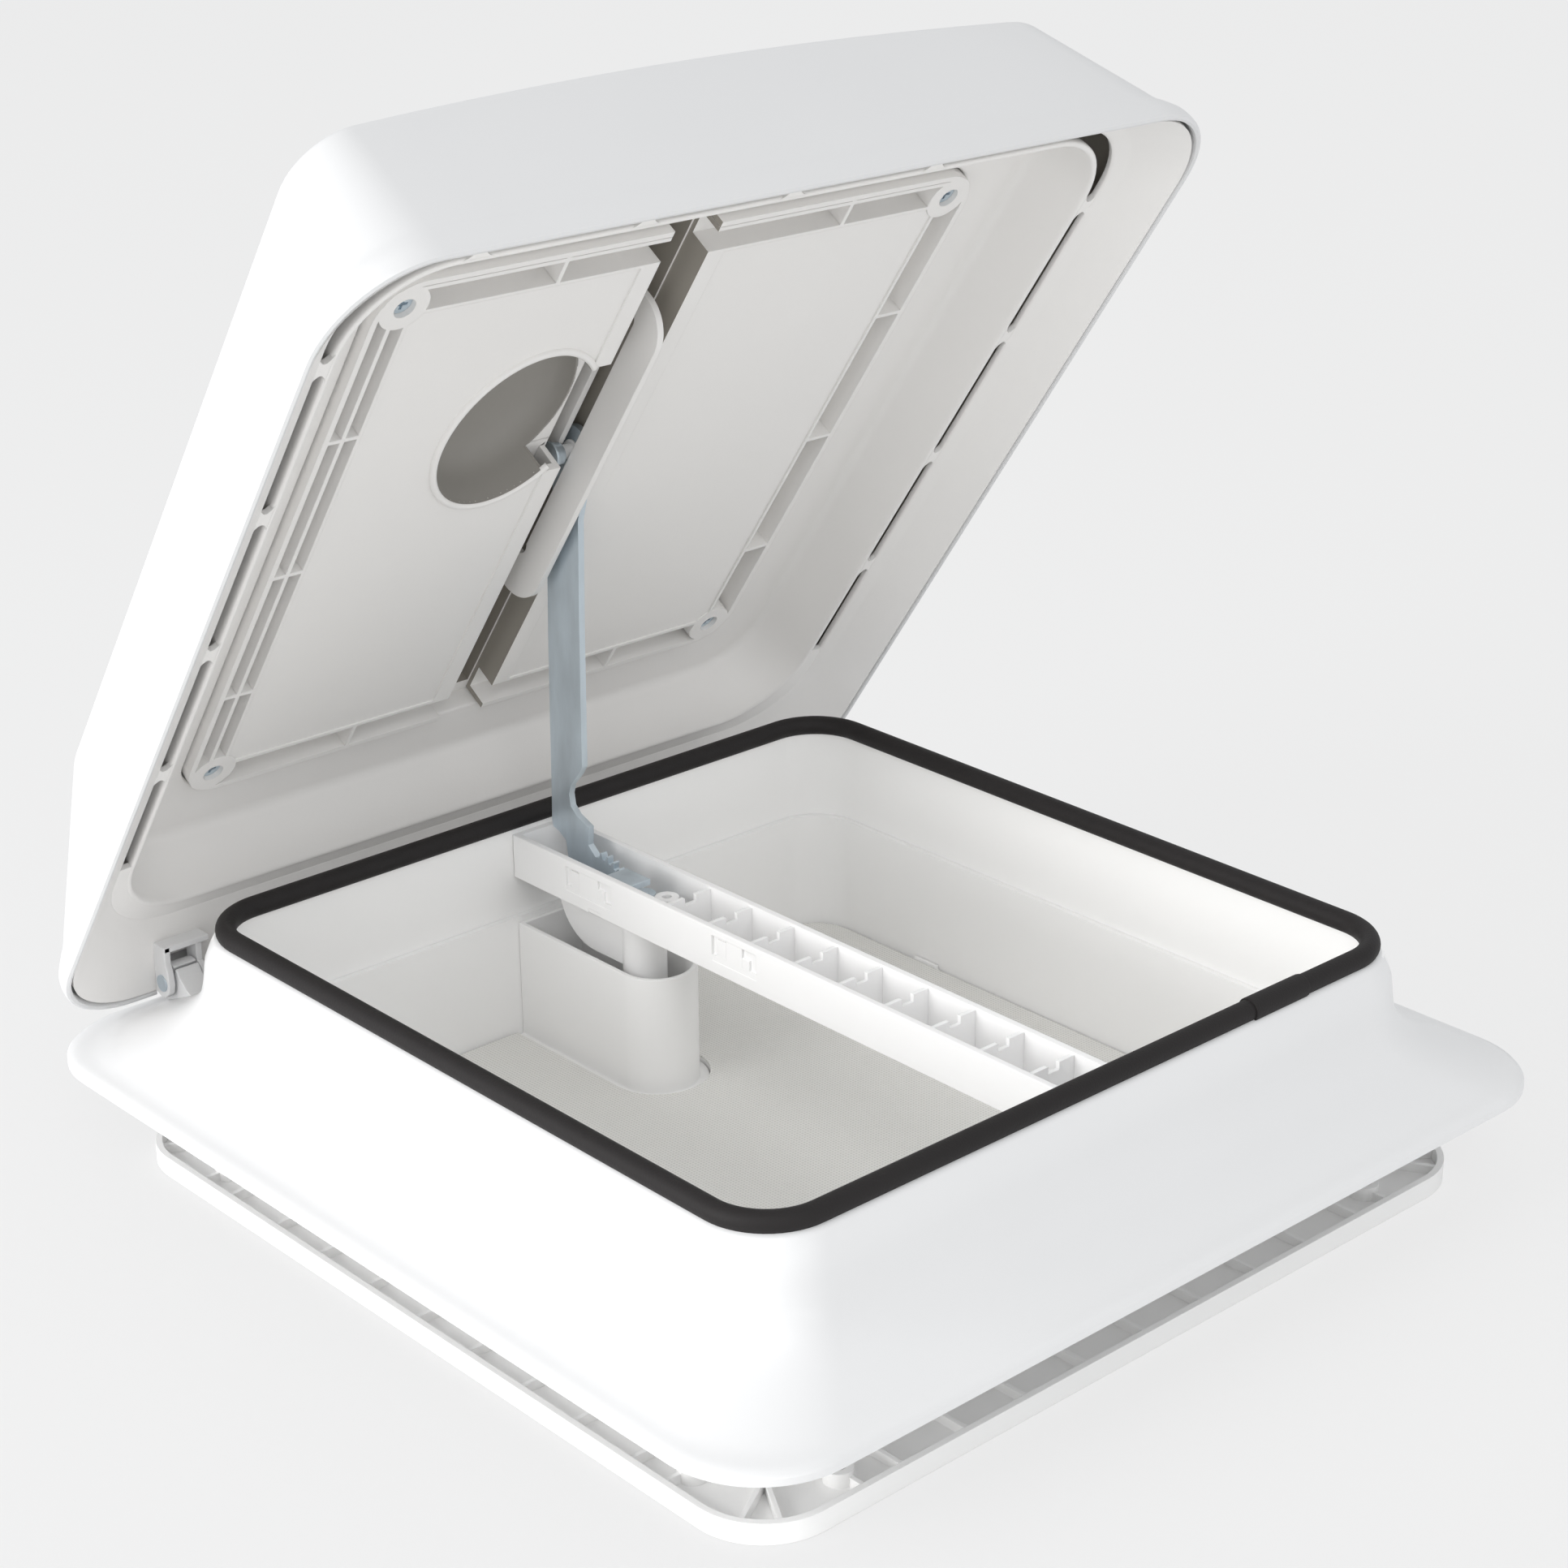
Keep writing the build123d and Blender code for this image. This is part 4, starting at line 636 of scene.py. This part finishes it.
skin_profile += [(172.9, 170.5, 178.9, 34.0, -35.4), (160.3, 160.2, 160.6, 30.6, -23.9),
                 (157.0, 157.0, 157.0, 30.4, -20.9)]
lining = skin("liner_skin", [lid_ring(level) for level in skin_profile], loop=True)
cut(lining, *NOTCHES)
smooth(lining, SKIN_ANGLE)
dress(swing(lining), "lid", INNER)

# Panels' recess in the shut lid: half side, floor, and the rises from which its back shows and from which it
# is painted in shade
RECESS_HALF, RECESS, RECESS_BACK, SHADE = 123.1, 8.6, 1.3, 8.9
back_to_shut = SWING.inverted()


def in_recess(point):
    """Whether a point of the open lid lies within the panels' recess."""
    shut = back_to_shut @ point / MM
    return max(abs(shut.x), abs(shut.y - LID_Y)) < RECESS_HALF and shut.z > LID_SEAT + RECESS_BACK


def in_painted_shade(face):
    """Whether a face of the open lid lies behind the recess floor, where it is painted in shade."""
    return (back_to_shut @ face.center).z / MM - LID_SEAT > SHADE


def lid_block(name, across, along, rise):
    """Block of the open lid between two places across, along and above the shut lid."""
    bm = bmesh.new()
    add_block(bm, (across[0], LID_Y - along[1], LID_SEAT + rise[0]),
              (across[1], LID_Y - along[0], LID_SEAT + rise[1]))
    return swing(built(name, bm))


# Cup beside the trough: an oval bowl with a raised bead, open to the trough above the recess floor
CUP_X, CUP_Y = -41.8, LID_Y - 39.5
CUP_HALF_X, CUP_HALF_ALONG = 28.3, 33.5
CUP_WALL, CUP_ROOM = 0.8, 0.4
CUP_LEVELS = ((1.0, -1.9), (1.0, 8.0), (0.985, 11.0), (0.95, 14.0), (0.87, 17.0), (0.74, 19.4), (0.55, 21.2),
              (0.3, 22.2), (0.08, 22.4))
OVAL_STEPS = 72
CUTTER_LOW, CUTTER_HIGH, FACE_LOW = -8.0, 30.0, -6.0
TROUGH_NEAR, TROUGH_SIDE = -12.2, -13.3
MOUTH_ACROSS, MOUTH_ALONG = (-30.0, -5.0), (15.5, 61.5)
MOUTH_FLOOR_FROM, MOUTH_FLOOR_ALONG, FLOOR_WALL = -40.0, (17.0, 63.0), 2.0
CORNER_ACROSS, CORNER_ALONG = (-24.0, -9.2), (14.0, 22.0)
SIDE_ALONG, SIDE_TOP = (16.0, 64.0), 22.8
FACES_ACROSS = 0.5
BEAD_PROFILE = ((0.0, -0.9), (0.05, -2.0), (0.5, -2.5), (1.2, -2.6), (1.9, -2.5), (2.35, -2.0), (2.4, -0.9))
BEAD_FROM, BEAD_TO, BEAD_STEPS = 41.0, 319.0, 80


def oval(grow, rise, angles):
    """Points of the cup's oval, grown by a width, at angles in degrees."""
    turns = [math.radians(a) for a in angles]
    return [(CUP_X + (CUP_HALF_X + grow) * math.cos(a),
             CUP_Y - (CUP_HALF_ALONG + grow) * math.sin(a), LID_SEAT + rise) for a in turns]


def cup_ring(share, rise, grow=0.0):
    """Whole ring of the cup at a share of its oval."""
    ring = oval(grow, rise, [360.0 * k / OVAL_STEPS for k in range(OVAL_STEPS)])
    return [(CUP_X + (x - CUP_X) * share, CUP_Y + (y - CUP_Y) * share, z) for x, y, z in ring]


def cup_cutter():
    """Room of the whole cup in the open lid."""
    return swing(skin("cup_cutter", [cup_ring(1.0, rise, CUP_ROOM) for rise in (CUTTER_LOW, CUTTER_HIGH)]))


inner_rings = [cup_ring(share, rise) for share, rise in CUP_LEVELS]
outer_rings = [cup_ring(share, rise + (CUP_WALL if share < 1 else 0), CUP_WALL) for share, rise in CUP_LEVELS]
bowl = skin("cup_bowl", inner_rings[::-1] + outer_rings)
cut(bowl, ((MOUTH_ACROSS[0], LID_Y - MOUTH_ALONG[1], LID_SEAT + FACE_LOW),
           (MOUTH_ACROSS[1], LID_Y - MOUTH_ALONG[0], LID_SEAT + RECESS)))
smooth(bowl, SHELL_ANGLE)
# The bowl is painted dark all over: painted shade in the cup's hollow
dress(swing(bowl), "lid", BOWL_PAINTED_SHADE)

mouth_floor = lid_block("cup_mouth_floor", (MOUTH_FLOOR_FROM, TROUGH_NEAR), MOUTH_FLOOR_ALONG,
                        (RECESS, RECESS + FLOOR_WALL))
dress(carve(mouth_floor, cup_cutter()), "lid", INNER)
cup_side = lid_block("cup_side_wall", (TROUGH_SIDE, TROUGH_NEAR - JOIN), SIDE_ALONG,
                     (RECESS + JOIN, SIDE_TOP))
dress(cup_side, "lid", INNER)
# Painted shade on the cup side wall's faces that look across the lid
tinted(cup_side, PAINTED_SHADE, lambda face: abs(face.normal.x) > FACES_ACROSS)

bead_turns = [BEAD_FROM + (BEAD_TO - BEAD_FROM) * k / (BEAD_STEPS - 1) for k in range(BEAD_STEPS)]
strips = [oval(grow, rise, bead_turns) for grow, rise in BEAD_PROFILE]
bead = smooth(skin("cup_bead", [list(ring) for ring in zip(*strips)]), ROUND_ANGLE)
dress(swing(bead), "lid", INNER)

liner_back = carried("lid_liner", "lid", INNER, name="liner_back", keep=in_recess, cutter=cup_cutter())
# Painted shade on the liner's back behind the recess floor
tinted(liner_back, PAINTED_SHADE, in_painted_shade)

# Bridges over the slots: narrow in the middle, flared at both roots, and the closed band round the hinge side
BRIDGE_SIDES = (117.0, 55.0, -7.0, -67.0)
BRIDGE_TOPS = (-113.0, -53.0, 4.0, 63.0)
BRIDGE_OUTLINE = ((150.9, 5.4), (151.6, 3.7), (152.6, 2.6), (153.4, 2.3), (154.2, 2.6), (155.2, 3.7),
                  (156.0, 5.4))
BRIDGE_LOW, BRIDGE_HIGH = -22.7, -20.7
WEB_START = 117.0
WEB_INNER, WEB_INNER_RADIUS, WEB_INNER_LOW = 150.9, 31.2, -22.6
WEB_OUTER, WEB_OUTER_RADIUS, WEB_OUTER_LOW = 156.2, 30.4, -22.9


def bridge(bm, place, across):
    """Adds one bridge; across turns a reach over the slot and a place along it into x and y."""
    outline = [(reach, place - half) for reach, half in BRIDGE_OUTLINE]
    outline += [(reach, place + half) for reach, half in reversed(BRIDGE_OUTLINE)]
    prism(bm, *[[(*across(*point), LID_SEAT + rise) for point in outline]
                for rise in (BRIDGE_LOW, BRIDGE_HIGH)])


def rear_web(bm):
    """Adds the closed band that joins ring and skin round the hinge side."""
    inner = rounded_ring(WEB_INNER, LID_Y - WEB_INNER, LID_Y + WEB_INNER, WEB_INNER_RADIUS, 0)
    outer = rounded_ring(WEB_OUTER, LID_Y - WEB_OUTER, LID_Y + WEB_OUTER, WEB_OUTER_RADIUS, 0)
    start = LID_Y + WEB_START
    ends = [((side * WEB_INNER, start, 0), (side * WEB_OUTER, start, 0)) for side in (1, -1)]
    pairs = ends[:1] + [(i, o) for i, o in zip(inner, outer) if i[1] > start] + ends[1:]
    rows = []
    for i, o in pairs:
        corners = ((i, WEB_INNER_LOW), (o, WEB_OUTER_LOW), (o, BRIDGE_HIGH), (i, BRIDGE_HIGH))
        rows.append([bm.verts.new(Vector((p[0], p[1], LID_SEAT + rise)) * MM) for p, rise in corners])
    for near, far in zip(rows, rows[1:]):
        for k in range(4):
            bm.faces.new((near[k], near[(k + 1) % 4], far[(k + 1) % 4], far[k]))
    bm.faces.new(rows[0])
    bm.faces.new(rows[-1][::-1])


tabs = bmesh.new()
for along in BRIDGE_SIDES:
    for side in (-1, 1):
        bridge(tabs, along, lambda reach, place, side=side: (side * reach, LID_Y - place))
for x in BRIDGE_TOPS:
    bridge(tabs, x, lambda reach, place: (place, LID_Y - reach))
rear_web(tabs)
dress(smooth(swing(built("liner_bridges", tabs)), SKIN_ANGLE), "lid", INNER)

# Hinge housings on the lid's rear skin: a shelf over the barrel, an outer cheek and a small inner cheek
SHELF_FRONT, SHELF_BACK = 171.0, 178.4
SHELF_LOW, SHELF_HIGH = 25.4, 27.6
CHEEK_OUT, CHEEK_IN, SHELF_IN = 7.9, 5.4, 10.0
INNER_NEAR, INNER_FAR, INNER_RADIUS = 5.0, 7.4, 5.4
INNER_TURN, INNER_STEPS = (0, 345), 23
POST_INSET, POST_SINK = 2.0, 0.5
HOUSING_EDGE = 0.4
cheek_outline = ((SHELF_FRONT, SHELF_HIGH), (SHELF_BACK, SHELF_HIGH), (SHELF_BACK, 9.4), (175.5, 8.2),
                 (172.6, 8.4), (170.2, 10.6), (169.4, 14.0), (169.8, 18.0), (SHELF_FRONT, 21.5))
inner_outline = arc_points(HINGE_Y, HINGE_Z, INNER_RADIUS, *INNER_TURN, INNER_STEPS)


def hinge_housing(name, side, node):
    """Housing over one hinge, on the side away from the lid's middle."""
    housing = bmesh.new()
    outer = side * (KNUCKLE_X + CHEEK_OUT)
    near, far = sorted((outer, side * (KNUCKLE_X + CHEEK_IN)))
    plate(housing, cheek_outline, near, far)
    near, far = sorted((outer, side * (KNUCKLE_X - SHELF_IN)))
    add_block(housing, (near + JOIN, SHELF_FRONT, SHELF_LOW), (far - JOIN, SHELF_BACK, SHELF_HIGH - JOIN))
    near, far = sorted((side * (KNUCKLE_X - INNER_NEAR), side * (KNUCKLE_X - INNER_FAR)))
    plate(housing, inner_outline, near, far)
    add_block(housing, (near + JOIN, HINGE_Y - POST_INSET, HINGE_Z),
              (far - JOIN, SHELF_BACK, SHELF_LOW + POST_SINK))
    dress(bevelled(built(name, housing), HOUSING_EDGE), "lid", WHITE, node)


hinge_housing("left_hinge_housing", -1, "left_hinge_bracket")
hinge_housing("right_hinge_housing", 1, "right_hinge_bracket")

# Near face of the crossbar with two shallow clip windows and a small slot
BAR_FACE, BAR_BACK, BAR_HALF = -10.72, -8.8, 136.2
BAR_LOW, BAR_HIGH = 28.5, 44.62
BAR_EDGE, CLIP_EDGE = 0.3, 0.25
OVERCUT = 1.0
CLIPS = ((106.4, 81.9), (29.3, 7.2))
CLIP_LOW, CLIP_HIGH, CLIP_DEPTH = 33.0, 42.0, 1.1
CLIP_FRONT, CLIP_BACK = 0.25, 1.5
CLIP_PARTS = ((0.1, 0.36, 34.2, 41.2), (0.46, 0.52, CLIP_LOW, CLIP_HIGH), (0.6, 0.84, 33.6, 38.8))
SLOT_PLACE, SLOT_TOP, SLOT_DEPTH = (88.0, 94.5), 29.9, 1.6
face_mesh = bmesh.new()
add_block(face_mesh, (BAR_FACE, -BAR_HALF, BAR_LOW), (BAR_BACK, BAR_HALF, BAR_HIGH))
bar_face = built("bar_face", face_mesh)
for high, low in CLIPS:
    cut(bar_face, ((BAR_FACE - OVERCUT, low, CLIP_LOW), (BAR_FACE + CLIP_DEPTH, high, CLIP_HIGH)))
cut(bar_face, ((BAR_FACE - OVERCUT, SLOT_PLACE[0], BAR_LOW - OVERCUT / 2),
               (BAR_FACE + SLOT_DEPTH, SLOT_PLACE[1], SLOT_TOP)))
dress(bevelled(bar_face, BAR_EDGE), "base", BAR)
clips = bmesh.new()
for high, low in CLIPS:
    length = high - low
    for start, end, bottom, top in CLIP_PARTS:
        add_block(clips, (BAR_FACE + CLIP_FRONT, high - length * end, bottom),
                  (BAR_FACE + CLIP_BACK, high - length * start, top))
dress(bevelled(built("bar_clips", clips), CLIP_EDGE), "base", BAR)

# Sleeve over the joint of the rim seal, as places along it and radii
SLEEVE = ((64.0, 3.45), (64.0, 3.9), (64.25, 4.05), (65.2, 4.05), (89.0, 4.0), (89.8, 3.85), (90.0, 3.4))
turns = [math.radians(turn) for turn in range(0, 360, SEAL_STEP)]
sleeve_rings = [[(x, -SEAL_LINE + radius * math.cos(turn), SEAL_HEIGHT + radius * math.sin(turn))
                 for turn in turns] for x, radius in SLEEVE]
sleeve = smooth(skin("seal_joint_sleeve", sleeve_rings), ROUND_ANGLE)
dress(sleeve, "base", RUBBER, "seal_sleeve")

# Pieces carried over from the CAD: node, body, material and width of its rounded edges
TROUGH_FAR, FACES_TROUGH = 8.0, -0.9
CARRIED = (
    ("ceiling_frame", "base", TUB_PAINTED_LIGHT, 0.4), ("winder_pocket", "base", TUB_PAINTED_LIGHT, 0.35),
    ("net_frame", "base", TUB_PAINTED_LIGHT, 0.3), ("crossbar", "base", BAR, 0), ("bar_screws", "base", ZINC, 0.2),
    ("worm_keeper", "base", ZINC, 0.2), ("pivot_pin", "base", ZINC, 0.2), ("lift_arm", "arm", ZINC, 0.25),
    ("pivot_bush", "arm", TUB_PAINTED_LIGHT, 0.15), ("arm_pin", "arm", ZINC, 0.25), ("pin_roller", "arm", TUB_PAINTED_LIGHT, 0.15),
    ("pin_washer", "arm", ZINC, 0.15), ("drive_worm", "winder", ZINC, 0),
    ("drive_shaft", "winder", ZINC, 0.2), ("shaft_clip", "winder", ZINC, 0.1),
    ("winder_knob", "winder", WHITE, 0.35), ("finger_peg", "peg", WHITE, 0.3),
    ("peg_pin", "winder", ZINC, 0.1), ("right_panel", "lid", INNER, 0), ("panel_screws", "lid", ZINC, 0),
    ("guide_plate", "lid", INNER, 0.5), ("guide_screws", "lid", ZINC, 0.15),
    ("hinge_pins", "lid", ZINC, 0.2), ("fly_net", "base", NET, 0),
)
dressed = {node: carried(node, body, material, width) for node, body, material, width in CARRIED}
left_panel = carried("left_panel", "lid", INNER, cutter=cup_cutter())
carve(left_panel, lid_block("mouth_cutter", CORNER_ACROSS, CORNER_ALONG, (FACE_LOW, RECESS)))
smooth(left_panel)


def at_trough(face):
    """Whether a face of the right panel looks into the trough, where it is painted in shade."""
    return face.normal.x < FACES_TROUGH and face.center.x < TROUGH_FAR * MM


# Painted shade on the right panel's side that looks into the trough
tinted(dressed["right_panel"], PAINTED_SHADE, at_trough)

# Floor under the piece, seen by the camera in nearly the backdrop's own grey
STAGE_REACH, STAGE_DROP = 6.0, 0.0002
PAPER, BACKDROP, FLAT_SHARE = (0.93, 0.93, 0.93, 1), (0.85, 0.85, 0.85, 1), 0.85
FLOOR = cad_box[0][2] - STAGE_DROP


def stage_material():
    """Pale paper that keeps a faint shadow and looks the same all over to the camera."""
    material = bpy.data.materials.new("stage_paper")
    material.use_nodes = True
    tree = material.node_tree
    links = tree.links
    tree.nodes.clear()
    out = tree.nodes.new("ShaderNodeOutputMaterial")
    diffuse = tree.nodes.new("ShaderNodeBsdfDiffuse")
    diffuse.inputs["Color"].default_value = PAPER
    flat = tree.nodes.new("ShaderNodeEmission")
    flat.inputs["Color"].default_value = BACKDROP
    path = tree.nodes.new("ShaderNodeLightPath")
    share = tree.nodes.new("ShaderNodeMath")
    share.operation = "MULTIPLY"
    share.inputs[1].default_value = FLAT_SHARE
    mix = tree.nodes.new("ShaderNodeMixShader")
    links.new(path.outputs["Is Camera Ray"], share.inputs[0])
    links.new(share.outputs["Value"], mix.inputs["Fac"])
    links.new(diffuse.outputs["BSDF"], mix.inputs[1])
    links.new(flat.outputs["Emission"], mix.inputs[2])
    links.new(mix.outputs["Shader"], out.inputs["Surface"])
    return material


floor_mesh = bpy.data.meshes.new("stage_floor")
floor_corners = [(x * STAGE_REACH, y * STAGE_REACH, FLOOR) for x, y in ((-1, -1), (1, -1), (1, 1), (-1, 1))]
floor_mesh.from_pydata(floor_corners, [], [(0, 1, 2, 3)])
floor = new_object("stage_floor", floor_mesh)
floor.data.materials.append(stage_material())

# World light
LIGHT_COLOUR, LIGHT_STRENGTH = (0.80, 0.81, 0.82, 1), 0.95


def studio_world():
    """World that lights the piece and shows the camera the backdrop's grey."""
    world = bpy.data.worlds.new("studio")
    world.use_nodes = True
    tree = world.node_tree
    background = tree.nodes["Background"]
    background.inputs["Color"].default_value = LIGHT_COLOUR
    background.inputs["Strength"].default_value = LIGHT_STRENGTH
    seen = tree.nodes.new("ShaderNodeBackground")
    seen.inputs["Color"].default_value = BACKDROP
    path = tree.nodes.new("ShaderNodeLightPath")
    mix = tree.nodes.new("ShaderNodeMixShader")
    tree.links.new(path.outputs["Is Camera Ray"], mix.inputs["Fac"])
    tree.links.new(background.outputs["Background"], mix.inputs[1])
    tree.links.new(seen.outputs["Background"], mix.inputs[2])
    tree.links.new(mix.outputs["Shader"], tree.nodes["World Output"].inputs["Surface"])
    return world


scene.world = studio_world()

# Lamps: name, place, the point they look at, size and power
LAMPS = (
    ("key", (-2.0, 0.35, 0.7), (0, 0, 0.1), (1.3, 1.3), 30.0),
    ("front", (-0.3, -1.9, 0.3), (0, 0, 0.15), (1.6, 0.6), 2.5),
    ("over", (-0.9, -1.2, 1.5), (0, 0.02, 0), (1.0, 1.0), 6.0),
)


def area_light(name, place, target, size, power):
    """Soft rectangular lamp aimed at a point."""
    data = bpy.data.lights.new(name, "AREA")
    data.shape = "RECTANGLE"
    data.size, data.size_y = size
    data.energy = power
    lamp = bpy.data.objects.new(name, data)
    scene.collection.objects.link(lamp)
    lamp.location = place
    lamp.rotation_euler = (Vector(target) - Vector(place)).to_track_quat("-Z", "Y").to_euler()
    return lamp


for lamp in LAMPS:
    area_light(*lamp)


def fitted_camera():
    """Camera at the photograph's place, turned by its azimuth, elevation and roll."""
    data = bpy.data.cameras.new("camera")
    data.lens = CAMERA_LENS
    data.sensor_width = SENSOR_WIDTH
    data.sensor_fit = "HORIZONTAL"
    data.shift_x, data.shift_y = CAMERA_SHIFT
    data.clip_start, data.clip_end = NEAREST, FARTHEST
    camera = bpy.data.objects.new("camera", data)
    scene.collection.objects.link(camera)
    azimuth, elevation, roll = (math.radians(a) for a in (CAMERA_AZIMUTH, CAMERA_ELEVATION, CAMERA_ROLL))
    away = Vector((math.sin(azimuth) * math.cos(elevation), -math.cos(azimuth) * math.cos(elevation),
                   math.sin(elevation)))
    right = (-away).cross(Vector((0, 0, 1))).normalized()
    up = right.cross(-away)
    right_rolled = math.cos(roll) * right + math.sin(roll) * up
    up_rolled = -math.sin(roll) * right + math.cos(roll) * up
    turn = Matrix((right_rolled, up_rolled, away)).transposed().to_4x4()
    camera.matrix_world = Matrix.Translation(Vector(CAMERA_PLACE)) @ turn
    return camera


scene.camera = fitted_camera()

scene.view_settings.view_transform = "Standard"
